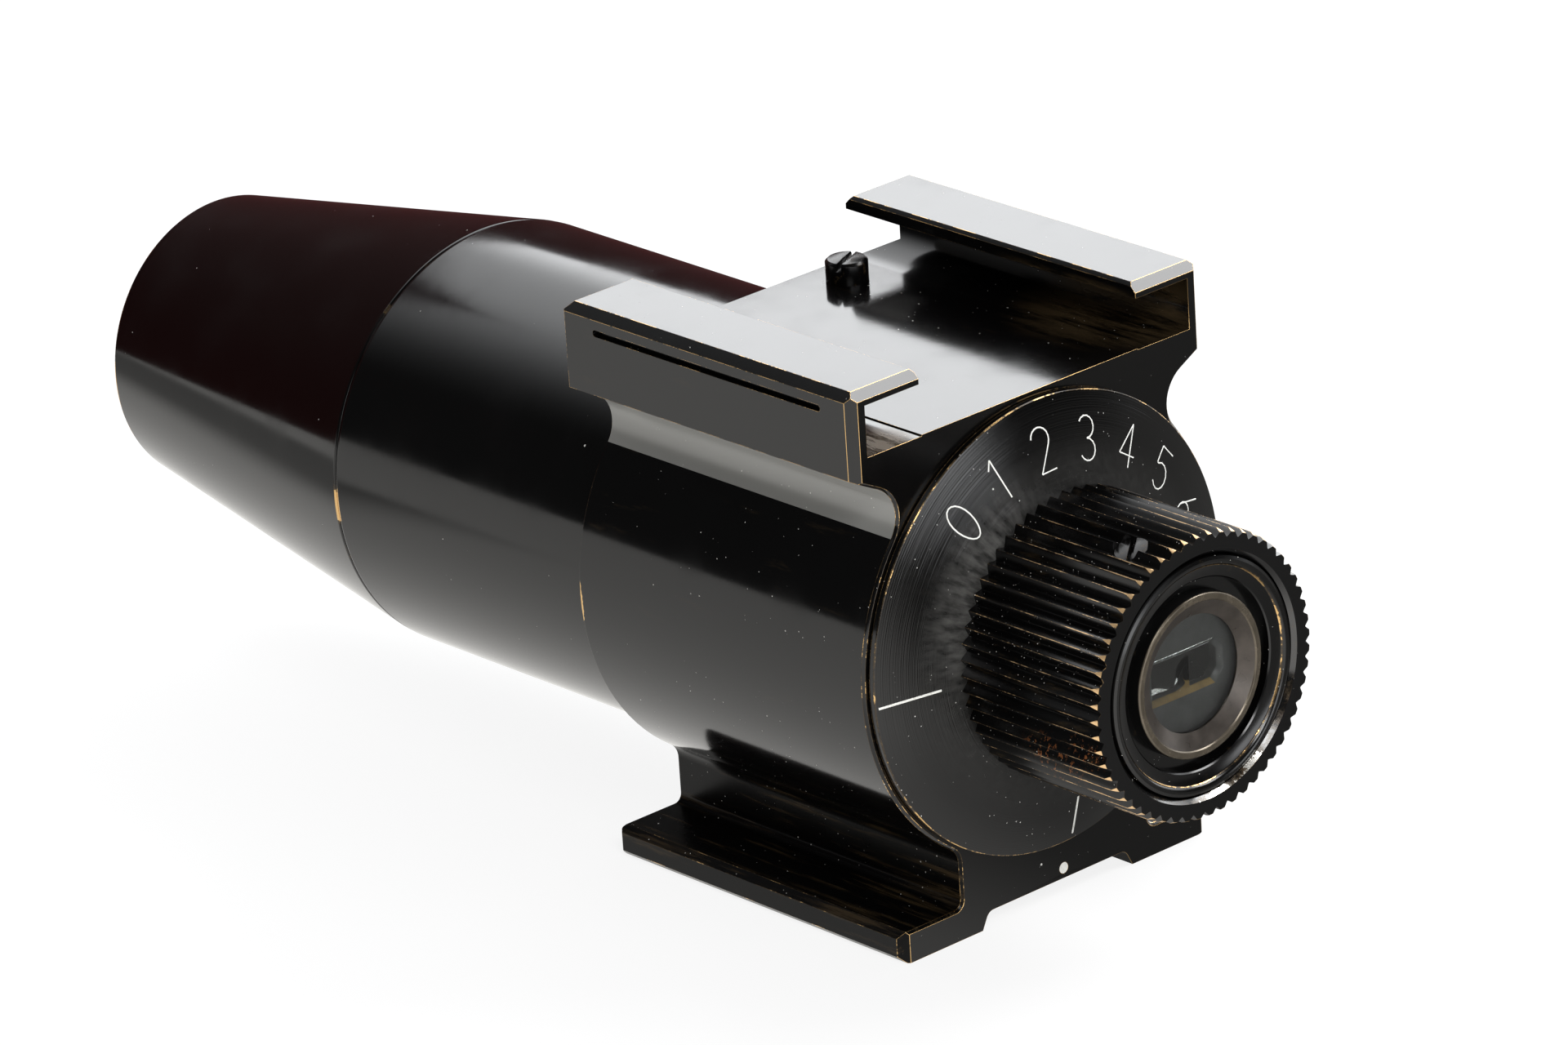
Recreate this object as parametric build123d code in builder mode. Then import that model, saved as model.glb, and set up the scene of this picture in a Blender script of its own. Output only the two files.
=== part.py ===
"""Telescopic viewfinder for a camera's accessory shoe.

A brass mount block carries an accessory shoe on top and an accessory foot below.
A barrel with a tapered hood holds the objective in front of it (+Y), and a knurled
eyepiece, which turns a reversion prism through 90 degrees, sits behind it (-Y).

Millimetres. The origin is the centre of the foot's underside, +Y runs from the
eyepiece to the objective, and +Z is up. Along the optical axis, every part is placed
by its distance from the block's eyepiece face, positive towards the objective.
"""

import math
import os

from build123d import *

# ---------------------------------------------------------------- driving dimensions
# Mount block
block_length = 18.0
block_radius = 10.5
axis_height = 12.9              # optical axis above the foot's underside
end_bevel = 0.4                 # along the rails' top edges, and on their eyepiece ends
far_end_bevel = 0.12            # on the upright corners of the objective end
rim_bevel = 0.12                # on the cylinder's two rims

# Accessory shoe; heights are above the optical axis
shoe_half_width = 9.45
rail_half_width = 10.25
rail_bottom = 9.5
rail_top = 13.4
lip_underside = 12.75
lip_half_gap = 6.35
lip_bevel = 0.15
channel_floor = 10.5
floor_relief = 0.06             # the floor is a touch lower under the lips
cove_centre_x = 9.6
cove_radius = 1.6
side_slot_height = 12.4
side_slot_width = 0.3
side_slot_depth = 0.25
side_slot_inset = 1.9

# Accessory foot
foot_half_width = 9.15
foot_thickness = 1.45
foot_bevel = 0.3
foot_rounding = 0.65
neck_half_width = 5.6
neck_fillet = 0.9
flange_fillet = 0.4
recess_half_width = 4.5
recess_ceiling_half_width = 4.1
recess_depth = 0.78
recess_fillet = 0.45

# Bores in the block: radius, and distance at which each ends
hub_bore = 7.0
hub_bore_end = 4.0
web_bore = 5.25
web_end = 5.5
nut_bore = 7.4
nut_bore_end = 8.0
thread_radius = 8.6

# Barrel and hood
barrel_radius = 9.85
barrel_end = 35.0
barrel_spigot_start = 11.0
barrel_spigot_bore = 7.6
barrel_bore = 8.9
barrel_bore_taper = 1.5
joint_break = 0.08              # edge break on both sides of the barrel and hood joint
hood_spigot_start = 29.0
hood_spigot_bore = 7.7
hood_waist_bore = 7.2
hood_end = 54.5
hood_mouth_radius = 6.75
hood_mouth_break = 0.12
hood_bore = 5.85
hood_bore_bevel = 0.3

# Objective
lens_radius = 5.4
cell_radius = 6.4
cell_start = 42.0
cell_end = 50.0
cell_relief = 1.0               # the hood's cell bore starts this far ahead of the cell
lens_seat_width = 0.3
lens_seat_flare = 0.2
lens_ring_width = 0.6
lens_ring_length = 1.4
crown_front_vertex = 49.3
crown_front_curve = 24.0
cement_vertex = 46.6
cement_curve = 18.0
flint_back_vertex = 45.4
flint_back_curve = 60.0

# Field mask
mask_thickness = 0.3
mask_window = (7.2, 4.8)
mask_ring_end = 10.0
mask_ring_bore = 7.0

# Index cap and knob
cap_radius = 10.25
cap_gap = 0.05
cap_rim = 0.37
cap_front = 1.6                 # all *_front values are distances towards the eye
hub_radius = 6.95
hub_end = 3.7
knob_radius = 6.4
knob_front = 9.65
knob_bevel = 0.12
knob_bevel_length = 0.32
knob_bore_bevel = 0.18
knob_margin = 0.02              # the flute and bevel cutters stand this far off the crests
flute_count = 56
flute_depth = 0.34
flute_root_radius = 0.09
crest_share = 0.08              # of a flute's pitch, left as a flat crest

# Eyepiece tube
tube_radius = 5.2
flange_radius = 5.3
flange_front = 9.6
flange_back_front = 9.0
flange_fit = 0.05
bead_inner_radius = 4.83
bead_inner_front = 9.45
bead_outer_front = 9.38
cone_front = 9.3
groove_outer = 4.25
groove_break = 0.06
groove_floor = 8.8
chamber_radius = 4.2
chamber_front = 8.45
tube_end = 7.2
washer_thickness = 0.2
nut_radius = 6.8
nut_end = 7.0

# Eye lens in its cell
eye_cell_radius = 3.64
eye_cell_front = 9.45
eye_cell_back = 8.5
eye_cell_break = 0.1
eye_cell_ring = 0.34            # width of the ring round the cell's inner cone
eye_cell_lip = 0.06             # thickness of the lip that holds the lens
eye_aperture = 2.6
eye_lens_radius = 3.2
eye_lens_front = 8.95
eye_lens_back = 8.5
eye_lens_curve = 30.0

# Reversion prism and its holder
holder_radius = 4.15
holder_end = 5.0
prism_width = 4.0
prism_height = 3.0
prism_front = 7.8
prism_end = 4.7
clip_thickness = 0.35
clip_margin = 0.2               # the clip is this much smaller than the prism's roof, all round
window_width = 3.75
window_height = 1.6
window_corner = 0.4
window_bevel = 0.22
prism_ring_end = 6.3
prism_ring_bore = 2.3

# Index marks; angles run from +X towards +Z, as seen from the eyepiece
index_marks = (                 # angle, and the radii at which the line starts and ends
    (-86.6, 8.0, 9.95),
    (183.4, 7.24, cap_radius),
)
line_width = 0.16
line_depth = 0.07
dot_radius = 0.25
dot_depth = 0.15
dot_offset = 11.65
dot_angle = -88.0

# Turn stop and click stop
quarter_turn = 90.0
stop_pin_radius = 0.4
stop_groove_width = 0.95
stop_groove_depth = 1.0
stop_pin_clearance = 0.1        # between the pin's tip and its groove's floor
stop_offset = 6.15
stop_angle = 200.0
ball_radius = 0.6
ball_hole_radius = 0.65
ball_hole_depth = 4.0
ball_depth = 0.33
ball_offset = 8.7
ball_angle = 20.0
ball_groove_width = 1.3
ball_groove_depth = 0.3
ball_dimple_radius = 0.3
ball_dimple_depth = 0.12
spring_wire_radius = 0.09
spring_radius = 0.45
spring_pitch = 0.5

# Screws
screw_thread_radius = 0.6
stop_screw_x = 4.4
stop_screw_y = 7.0
stop_head_radius = 0.95
stop_head_height = 1.0
stop_head_bevel = 0.12
stop_thread_length = 2.0
stop_slot_turn = 25.0
set_screw_radius = 0.75
set_screw_angle = 107.0
set_screw_front = 7.5
set_screw_top = 6.1
set_slot_turn = 35.0
driver_slot_length = 3.0
driver_slot_width = 0.25
driver_slot_depth = 0.35
spanner_slot_width = 0.8
spanner_slot_depth = 0.5

# Cutters run this far past the face that they start from or leave by
overrun = 0.5

# ---------------------------------------------------------------- shared geometry
face_y = -block_length / 2
axial = Plane(origin=(0, 0, axis_height), x_dir=(0, 1, 0), z_dir=(1, 0, 0))
optical_axis = Axis((0, 0, axis_height), (0, 1, 0))


def across(distance):
    """The plane across the optical axis at a distance, with local x = X and local y = Z.

    It faces the eyepiece: extruding by a positive amount runs back towards the eye.
    """
    return Plane(origin=(0, face_y + distance, axis_height), x_dir=(1, 0, 0), z_dir=(0, -1, 0))


def turn(*outline, mode=Mode.ADD):
    """Revolve a closed outline of (distance, radius) corners about the optical axis."""
    with BuildSketch(axial) as profile:
        with BuildLine():
            Polyline(*[(face_y + distance, radius) for distance, radius in outline], close=True)
        make_face()
    revolve(profile.sketch, axis=optical_axis, mode=mode)


def ring(start, end, inner, outer, mode=Mode.ADD):
    """Revolve a plain rectangle between two distances and two radii."""
    turn((start, inner), (end, inner), (end, outer), (start, outer), mode=mode)


def on_circle(radius, angle):
    """The local point at a radius and an angle from +X towards +Z."""
    return (radius * math.cos(math.radians(angle)), radius * math.sin(math.radians(angle)))


def radial_plane(angle, radius, distance):
    """The plane facing outward at an angle, a radius from the axis; its local y is along Y."""
    outward_x, outward_z = on_circle(1.0, angle)
    return Plane(
        origin=(radius * outward_x, face_y + distance, axis_height + radius * outward_z),
        x_dir=(-outward_z, 0, outward_x),
        z_dir=(outward_x, 0, outward_z),
    )


def sag(curve, radius):
    """How far a spherical surface falls back from its vertex at a radius."""
    return curve - math.sqrt(curve**2 - radius**2)


def lens(front_vertex, front_curve, back_vertex, back_curve, radius):
    """Revolve a lens; a curve is positive where that face bulges away from the eye."""
    front_edge = front_vertex - math.copysign(sag(abs(front_curve), radius), front_curve)
    back_edge = back_vertex + math.copysign(sag(abs(back_curve), radius), back_curve)
    front_middle = front_vertex - math.copysign(sag(abs(front_curve), radius / 2), front_curve)
    back_middle = back_vertex + math.copysign(sag(abs(back_curve), radius / 2), back_curve)
    with BuildSketch(axial) as profile:
        with BuildLine():
            Line((face_y + back_vertex, 0), (face_y + front_vertex, 0))
            ThreePointArc(
                (face_y + front_vertex, 0),
                (face_y + front_middle, radius / 2),
                (face_y + front_edge, radius),
            )
            Line((face_y + front_edge, radius), (face_y + back_edge, radius))
            ThreePointArc(
                (face_y + back_edge, radius),
                (face_y + back_middle, radius / 2),
                (face_y + back_vertex, 0),
            )
        make_face()
    revolve(profile.sketch, axis=optical_axis)


def spanner_slots(face, into, inner, outer):
    """Cut two opposite slots into a face, for a two-pin spanner.

    The face is at a distance, and into is 1 where it looks towards the objective, or -1.
    """
    with BuildSketch(across(face)) as slots:
        for side in (-1, 1):
            with Locations((side * (inner + outer) / 2, 0)):
                Rectangle(outer - inner + 2 * overrun, spanner_slot_width)
    extrude(slots.sketch, amount=into * spanner_slot_depth, mode=Mode.SUBTRACT)


def bevel_corner(x, y, x_side, y_side, bevel):
    """Draw the triangle that takes a bevel off the corner at (x, y) of a section."""
    Polygon(
        (x - x_side * 2 * bevel, y + y_side * bevel),
        (x + x_side * bevel, y - y_side * 2 * bevel),
        (x + x_side * bevel, y + y_side * bevel),
        align=None,
    )


def bevel_uprights(half_width, bottom, height):
    """Take the bevels off the four upright corners of a rail or foot."""
    with BuildSketch(Plane.XY.offset(bottom)) as corners:
        for side in (-1, 1):
            bevel_corner(side * half_width, face_y, side, -1, end_bevel)
            bevel_corner(side * half_width, face_y + block_length, side, 1, far_end_bevel)
    extrude(corners.sketch, amount=height, mode=Mode.SUBTRACT)


def finish(body, name):
    """Label a finished piece and write it to its own file."""
    body.part.label = name
    export_step(body.part, f"parts/{name}.step")


os.makedirs("parts", exist_ok=True)

# ---------------------------------------------------------------- index dot
with BuildPart() as index_dot:
    with BuildSketch(across(0)):
        with Locations(on_circle(dot_offset, dot_angle)):
            Circle(dot_radius)
    extrude(amount=-dot_depth)
finish(index_dot, "index_dot")

# ---------------------------------------------------------------- mount block
# Half of the section, from the channel floor round to the foot's recess. The cove is
# tangent to the cylinder, and to the straight run that comes down from the rail.
cove_centre_z = math.sqrt((block_radius + cove_radius) ** 2 - cove_centre_x**2)
to_corner_x = rail_half_width - cove_centre_x
to_corner_z = rail_bottom - cove_centre_z
tangent_angle = math.atan2(to_corner_z, to_corner_x) + math.acos(
    cove_radius / math.hypot(to_corner_x, to_corner_z)
)
cove_start = (
    cove_centre_x + cove_radius * math.cos(tangent_angle),
    cove_centre_z + cove_radius * math.sin(tangent_angle),
)
cove_share = block_radius / (block_radius + cove_radius)
cove_end = (cove_centre_x * cove_share, cove_centre_z * cove_share)
neck_centre_x = neck_half_width + neck_fillet
neck_centre_z = -math.sqrt((block_radius + neck_fillet) ** 2 - neck_centre_x**2)
neck_share = block_radius / (block_radius + neck_fillet)
neck_start = (neck_centre_x * neck_share, neck_centre_z * neck_share)
foot_bottom = -axis_height
foot_top = foot_bottom + foot_thickness
stop_screw_places = ((-stop_screw_x, stop_screw_y), (stop_screw_x, stop_screw_y))

with BuildPart() as mount_block:
    with BuildSketch(across(block_length)):
        with BuildLine():
            Polyline(
                (0, channel_floor),
                (lip_half_gap, channel_floor),
                (lip_half_gap, channel_floor - floor_relief),
                (shoe_half_width, channel_floor - floor_relief),
                (shoe_half_width, lip_underside),
                (lip_half_gap, lip_underside),
                (lip_half_gap, rail_top - lip_bevel),
                (lip_half_gap + lip_bevel, rail_top),
                (rail_half_width - end_bevel, rail_top),
                (rail_half_width, rail_top - end_bevel),
                (rail_half_width, rail_bottom),
                cove_start,
            )
            RadiusArc(cove_start, cove_end, -cove_radius)
            RadiusArc(cove_end, neck_start, block_radius)
            RadiusArc(neck_start, (neck_half_width, neck_centre_z), -neck_fillet)
            Line((neck_half_width, neck_centre_z), (neck_half_width, foot_top + flange_fillet))
            RadiusArc(
                (neck_half_width, foot_top + flange_fillet),
                (neck_half_width + flange_fillet, foot_top),
                -flange_fillet,
            )
            Polyline(
                (neck_half_width + flange_fillet, foot_top),
                (foot_half_width - foot_bevel, foot_top),
                (foot_half_width, foot_top - foot_bevel),
                (foot_half_width, foot_bottom),
                (recess_half_width, foot_bottom),
                (recess_ceiling_half_width, foot_bottom + recess_depth),
                (0, foot_bottom + recess_depth),
            )
            mirror(about=Plane.YZ)
        make_face()
        # The foot's underside: rounded corners in the recess, one bevelled edge and one rounded
        low_corners = vertices().filter_by(lambda corner: corner.Y < foot_top - foot_bevel)
        fillet(low_corners.filter_by(lambda corner: abs(corner.X) < recess_half_width - 0.1), recess_fillet)
        chamfer(vertices().group_by(Axis.Y)[0].sort_by(Axis.X)[0], foot_bevel)
        fillet(vertices().group_by(Axis.Y)[0].sort_by(Axis.X)[-1], foot_rounding)
    extrude(amount=block_length)

    # Shallow slot along each rail's outer face
    for side in (-1, 1):
        outer_face = Plane(
            origin=(side * rail_half_width, 0, axis_height + side_slot_height),
            x_dir=(0, side, 0),
            z_dir=(side, 0, 0),
        )
        with BuildSketch(outer_face):
            SlotOverall(block_length - 2 * side_slot_inset, side_slot_width)
        extrude(amount=-side_slot_depth, mode=Mode.SUBTRACT)

    # Bevels across the rails' top ends, and down the outer ends of rails and foot
    with BuildSketch(Plane.YZ) as top_bevels:
        for end in (-1, 1):
            bevel_corner(end * block_length / 2, axis_height + rail_top, end, 1, end_bevel)
    extrude(top_bevels.sketch, amount=2 * rail_half_width, both=True, mode=Mode.SUBTRACT)
    bevel_uprights(rail_half_width, axis_height + cove_start[1], rail_top - cove_start[1])
    bevel_uprights(foot_half_width, 0, foot_thickness)
    cylinder_rims = (
        mount_block.edges()
        .filter_by(GeomType.CIRCLE)
        .filter_by(lambda edge: abs(edge.radius - block_radius) < 0.01)
    )
    chamfer(cylinder_rims, rim_bevel)

    # Bores on the optical axis
    ring(0, hub_bore_end, 0, hub_bore, mode=Mode.SUBTRACT)
    ring(hub_bore_end, web_end, 0, web_bore, mode=Mode.SUBTRACT)
    ring(web_end, nut_bore_end, 0, nut_bore, mode=Mode.SUBTRACT)
    ring(nut_bore_end, block_length, 0, thread_radius, mode=Mode.SUBTRACT)

    # Holes for the click ball, the stop pin, the stop screws and the index dot
    with BuildSketch(across(0)):
        with Locations(on_circle(ball_offset, ball_angle)):
            Circle(ball_hole_radius)
    extrude(amount=-ball_hole_depth, mode=Mode.SUBTRACT)
    with BuildSketch(across(web_end)):
        with Locations(on_circle(stop_offset, stop_angle)):
            Circle(stop_pin_radius)
    extrude(amount=web_end - hub_bore_end, mode=Mode.SUBTRACT)
    with BuildSketch(Plane.XY.offset(axis_height + channel_floor)):
        with Locations(*stop_screw_places):
            Circle(screw_thread_radius)
    extrude(amount=-stop_thread_length, mode=Mode.SUBTRACT)
    add(index_dot.part, mode=Mode.SUBTRACT)
finish(mount_block, "mount_block")

# ---------------------------------------------------------------- shoe stop screws
with BuildPart() as shoe_stop_screws:
    with BuildSketch(Plane.XY.offset(axis_height + channel_floor)):
        with Locations(*stop_screw_places):
            Circle(stop_head_radius)
    extrude(amount=stop_head_height)
    top_rims = shoe_stop_screws.faces().filter_by(Axis.Z).group_by(Axis.Z)[-1].edges()
    chamfer(top_rims, stop_head_bevel)
    with BuildSketch(Plane.XY.offset(axis_height + channel_floor)):
        with Locations(*stop_screw_places):
            Circle(screw_thread_radius)
    extrude(amount=-stop_thread_length)
    with BuildSketch(Plane.XY.offset(axis_height + channel_floor + stop_head_height)):
        with Locations(*stop_screw_places):
            Rectangle(driver_slot_length, driver_slot_width, rotation=stop_slot_turn)
    extrude(amount=-driver_slot_depth, mode=Mode.SUBTRACT)
finish(shoe_stop_screws, "shoe_stop_screws")

# ---------------------------------------------------------------- turn stop and click stop
with BuildPart() as stop_pin:
    with BuildSketch(across(web_end - cap_gap)):
        with Locations(on_circle(stop_offset, stop_angle)):
            Circle(stop_pin_radius)
    extrude(amount=web_end - cap_gap - stop_pin_clearance - (hub_end - stop_groove_depth))
finish(stop_pin, "stop_pin")

with BuildPart() as detent_ball:
    with Locations(across(ball_depth).from_local_coords((*on_circle(ball_offset, ball_angle), 0))):
        Sphere(ball_radius)
finish(detent_ball, "detent_ball")

spring_start = ball_depth + ball_radius + spring_wire_radius
spring_length = ball_hole_depth - spring_wire_radius - spring_start
spring_x, spring_z = on_circle(ball_offset, ball_angle)
spring_centre = (spring_x, face_y + spring_start, axis_height + spring_z)
with BuildPart() as detent_spring:
    with BuildLine() as coil:
        Helix(spring_pitch, spring_length, spring_radius, center=spring_centre, direction=(0, 1, 0))
    with BuildSketch(Plane(origin=coil.line @ 0, z_dir=coil.line % 0)):
        Circle(spring_wire_radius)
    sweep(path=coil.line, is_frenet=True)
finish(detent_spring, "detent_spring")

# ---------------------------------------------------------------- field mask
mask_end = nut_bore_end + mask_thickness
with BuildPart() as field_mask:
    ring(nut_bore_end, mask_end, 0, thread_radius)
    with BuildSketch(across(nut_bore_end)):
        Rectangle(*mask_window)
    extrude(amount=-mask_thickness, mode=Mode.SUBTRACT)
finish(field_mask, "field_mask")

with BuildPart() as mask_retaining_ring:
    ring(mask_end, mask_ring_end, mask_ring_bore, thread_radius)
    spanner_slots(mask_ring_end, 1, mask_ring_bore, thread_radius)
finish(mask_retaining_ring, "mask_retaining_ring")

# ---------------------------------------------------------------- barrel and hood
with BuildPart() as barrel_tube:
    turn(
        (barrel_spigot_start, barrel_spigot_bore),
        (block_length, barrel_spigot_bore),
        (block_length + barrel_bore_taper, barrel_bore),
        (hood_spigot_start - (barrel_bore - thread_radius), barrel_bore),
        (hood_spigot_start, thread_radius),
        (barrel_end, thread_radius),
        (barrel_end, barrel_radius - joint_break),
        (barrel_end - joint_break, barrel_radius),
        (block_length, barrel_radius),
        (block_length, thread_radius),
        (barrel_spigot_start, thread_radius),
    )
finish(barrel_tube, "barrel_tube")

hood_slope = (barrel_radius - hood_mouth_radius) / (hood_end - barrel_end)
with BuildPart() as objective_hood:
    turn(
        (hood_spigot_start, hood_spigot_bore),
        (barrel_end, hood_spigot_bore),
        (cell_start - cell_relief, hood_waist_bore),
        (cell_start - cell_relief, cell_radius),
        (cell_end, cell_radius),
        (cell_end, hood_bore),
        (hood_end - hood_bore_bevel, hood_bore),
        (hood_end, hood_bore + hood_bore_bevel),
        (hood_end, hood_mouth_radius - hood_mouth_break),
        (hood_end - hood_mouth_break, hood_mouth_radius + hood_mouth_break * hood_slope),
        (barrel_end + joint_break, barrel_radius - joint_break * hood_slope),
        (barrel_end, barrel_radius - joint_break),
        (barrel_end, thread_radius),
        (hood_spigot_start, thread_radius),
    )
finish(objective_hood, "objective_hood")

# ---------------------------------------------------------------- objective
lens_seat_radius = lens_radius - lens_seat_width
lens_seat = crown_front_vertex - sag(crown_front_curve, lens_seat_radius)
with BuildPart() as objective_cell:
    turn(
        (cell_start, lens_radius),
        (lens_seat, lens_radius),
        (lens_seat, lens_seat_radius),
        (cell_end, lens_seat_radius + lens_seat_flare),
        (cell_end, cell_radius),
        (cell_start, cell_radius),
    )
    spanner_slots(cell_start, -1, lens_radius, cell_radius)
finish(objective_cell, "objective_cell")

with BuildPart() as objective_crown_lens:
    lens(crown_front_vertex, crown_front_curve, cement_vertex, cement_curve, lens_radius)
finish(objective_crown_lens, "objective_crown_lens")

with BuildPart() as objective_flint_lens:
    lens(cement_vertex, -cement_curve, flint_back_vertex, flint_back_curve, lens_radius)
finish(objective_flint_lens, "objective_flint_lens")

lens_ring_bore = lens_radius - lens_ring_width
lens_ring_end = flint_back_vertex + sag(flint_back_curve, lens_ring_bore)
lens_ring_start = lens_ring_end - lens_ring_length
with BuildPart() as objective_retaining_ring:
    ring(lens_ring_start, lens_ring_end, lens_ring_bore, lens_radius)
    spanner_slots(lens_ring_start, -1, lens_ring_bore, lens_radius)
finish(objective_retaining_ring, "objective_retaining_ring")

# ---------------------------------------------------------------- index cap
with BuildPart() as index_lines:
    turn(
        (-cap_rim, cap_radius),
        (-cap_rim + line_depth, cap_radius),
        (-cap_front + line_depth, knob_radius),
        (-cap_front, knob_radius),
    )
    with BuildSketch(across(0)) as marks:
        for angle, start, end in index_marks:
            with Locations(on_circle((start + end) / 2, angle)):
                Rectangle(end - start, line_width, rotation=angle)
    extrude(marks.sketch, amount=cap_front + overrun, mode=Mode.INTERSECT)
finish(index_lines, "index_lines")

stop_path = CenterArc((0, 0), stop_offset, stop_angle - quarter_turn, quarter_turn)
ball_path = CenterArc((0, 0), ball_offset, ball_angle - quarter_turn, quarter_turn)
with BuildPart() as index_cap:
    turn(
        (-cap_gap, cap_radius),
        (-cap_rim, cap_radius),
        (-cap_front, knob_radius),
        (-cap_front, tube_radius),
        (hub_end, tube_radius),
        (hub_end, hub_radius),
        (-cap_gap, hub_radius),
    )
    add(index_lines.part, mode=Mode.SUBTRACT)
    # Groove for the stop pin in the hub's end, a quarter turn long
    with BuildSketch(across(hub_end)):
        SlotArc(stop_path, stop_groove_width)
    extrude(amount=stop_groove_depth, mode=Mode.SUBTRACT)
    # Groove for the click ball in the flange's back, with a deeper dimple at each end
    with BuildSketch(across(-cap_gap)):
        SlotArc(ball_path, ball_groove_width)
    extrude(amount=ball_groove_depth, mode=Mode.SUBTRACT)
    with BuildSketch(across(-cap_gap)):
        for angle in (ball_angle, ball_angle - quarter_turn):
            with Locations(on_circle(ball_offset, angle)):
                Circle(ball_dimple_radius)
    extrude(amount=ball_groove_depth + ball_dimple_depth, mode=Mode.SUBTRACT)
finish(index_cap, "index_cap")

# ---------------------------------------------------------------- knurled knob
set_screw_plane = radial_plane(set_screw_angle, tube_radius, -set_screw_front)
flute_root = knob_radius - flute_depth + flute_root_radius
knob_bore_radius = flange_radius + flange_fit
flute_half_width = knob_radius * math.radians(360 / flute_count) * (1 - crest_share) / 2
with BuildPart() as knurled_knob:
    with BuildSketch(across(-cap_front)):
        Circle(knob_radius)
        with PolarLocations(0, flute_count):
            Polygon(
                (flute_root, -flute_root_radius),
                (flute_root, flute_root_radius),
                (knob_radius + knob_margin, flute_half_width),
                (knob_radius + knob_margin, -flute_half_width),
                align=None,
                mode=Mode.SUBTRACT,
            )
        with PolarLocations(flute_root, flute_count):
            Circle(flute_root_radius, mode=Mode.SUBTRACT)
    extrude(amount=knob_front - cap_front)
    turn(
        (-knob_front, knob_radius - knob_bevel),
        (-knob_front + knob_bevel_length, knob_radius + knob_margin),
        (-knob_front + knob_bevel_length, knob_radius + overrun),
        (-knob_front - overrun, knob_radius + overrun),
        (-knob_front - overrun, knob_radius - knob_bevel),
        mode=Mode.SUBTRACT,
    )
    ring(-knob_front, -cap_front, 0, tube_radius, mode=Mode.SUBTRACT)
    ring(-knob_front, -flange_back_front, 0, knob_bore_radius, mode=Mode.SUBTRACT)
    turn(
        (-knob_front - overrun, tube_radius),
        (-knob_front - overrun, knob_bore_radius + knob_bore_bevel + overrun),
        (-knob_front + knob_bore_bevel, knob_bore_radius),
        (-knob_front + knob_bore_bevel, tube_radius),
        mode=Mode.SUBTRACT,
    )
    with BuildSketch(set_screw_plane):
        Circle(set_screw_radius)
    extrude(amount=knob_radius, mode=Mode.SUBTRACT)
finish(knurled_knob, "knurled_knob")

with BuildPart() as knob_set_screw:
    with BuildSketch(set_screw_plane):
        Circle(set_screw_radius)
    extrude(amount=set_screw_top - tube_radius)
    with BuildSketch(radial_plane(set_screw_angle, set_screw_top, -set_screw_front)):
        Rectangle(driver_slot_length, driver_slot_width, rotation=set_slot_turn)
    extrude(amount=-driver_slot_depth, mode=Mode.SUBTRACT)
finish(knob_set_screw, "knob_set_screw")

# ---------------------------------------------------------------- eyepiece tube
bead_start = (face_y - bead_outer_front, flange_radius)
bead_crest = (face_y - flange_front, (flange_radius + bead_inner_radius) / 2)
bead_end = (face_y - bead_inner_front, bead_inner_radius)
with BuildPart() as eyepiece_tube:
    with BuildSketch(axial) as tube_profile:
        with BuildLine():
            Polyline(
                bead_end,
                (face_y - cone_front, groove_outer + groove_break),
                (face_y - cone_front + groove_break, groove_outer),
                (face_y - groove_floor, groove_outer),
                (face_y - groove_floor, eye_cell_radius),
                (face_y - chamber_front, eye_cell_radius),
                (face_y - chamber_front, chamber_radius),
                (face_y + tube_end, chamber_radius),
                (face_y + tube_end, tube_radius),
                (face_y - flange_back_front, tube_radius),
                (face_y - flange_back_front, flange_radius),
                bead_start,
            )
            ThreePointArc(bead_start, bead_crest, bead_end)
        make_face()
    revolve(tube_profile.sketch, axis=optical_axis)
finish(eyepiece_tube, "eyepiece_tube")

washer_start = web_end + cap_gap
washer_end = washer_start + washer_thickness
with BuildPart() as thrust_washer:
    ring(washer_start, washer_end, tube_radius, nut_radius)
finish(thrust_washer, "thrust_washer")

with BuildPart() as retaining_nut:
    ring(washer_end, nut_end, tube_radius, nut_radius)
    spanner_slots(nut_end, 1, tube_radius, nut_radius)
finish(retaining_nut, "retaining_nut")

# ---------------------------------------------------------------- eye lens in its cell
with BuildPart() as eye_lens_cell:
    turn(
        (-eye_cell_front + eye_cell_break, eye_cell_radius),
        (-eye_cell_back, eye_cell_radius),
        (-eye_cell_back, eye_lens_radius),
        (-eye_lens_front, eye_lens_radius),
        (-eye_lens_front, eye_aperture),
        (-eye_lens_front - eye_cell_lip, eye_aperture),
        (-eye_cell_front + eye_cell_break, eye_cell_radius - eye_cell_ring),
        (-eye_cell_front, eye_cell_radius - eye_cell_ring + eye_cell_break),
        (-eye_cell_front, eye_cell_radius - eye_cell_break),
    )
finish(eye_lens_cell, "eye_lens_cell")

eye_lens_edge = eye_lens_back + sag(eye_lens_curve, eye_lens_radius)
eye_lens_middle = eye_lens_back + sag(eye_lens_curve, eye_lens_radius / 2)
with BuildPart() as eye_lens:
    with BuildSketch(axial) as eye_lens_profile:
        with BuildLine():
            Polyline(
                (face_y - eye_lens_back, 0),
                (face_y - eye_lens_front, 0),
                (face_y - eye_lens_front, eye_lens_radius),
                (face_y - eye_lens_edge, eye_lens_radius),
            )
            ThreePointArc(
                (face_y - eye_lens_edge, eye_lens_radius),
                (face_y - eye_lens_middle, eye_lens_radius / 2),
                (face_y - eye_lens_back, 0),
            )
        make_face()
    revolve(eye_lens_profile.sketch, axis=optical_axis)
finish(eye_lens, "eye_lens")

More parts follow.
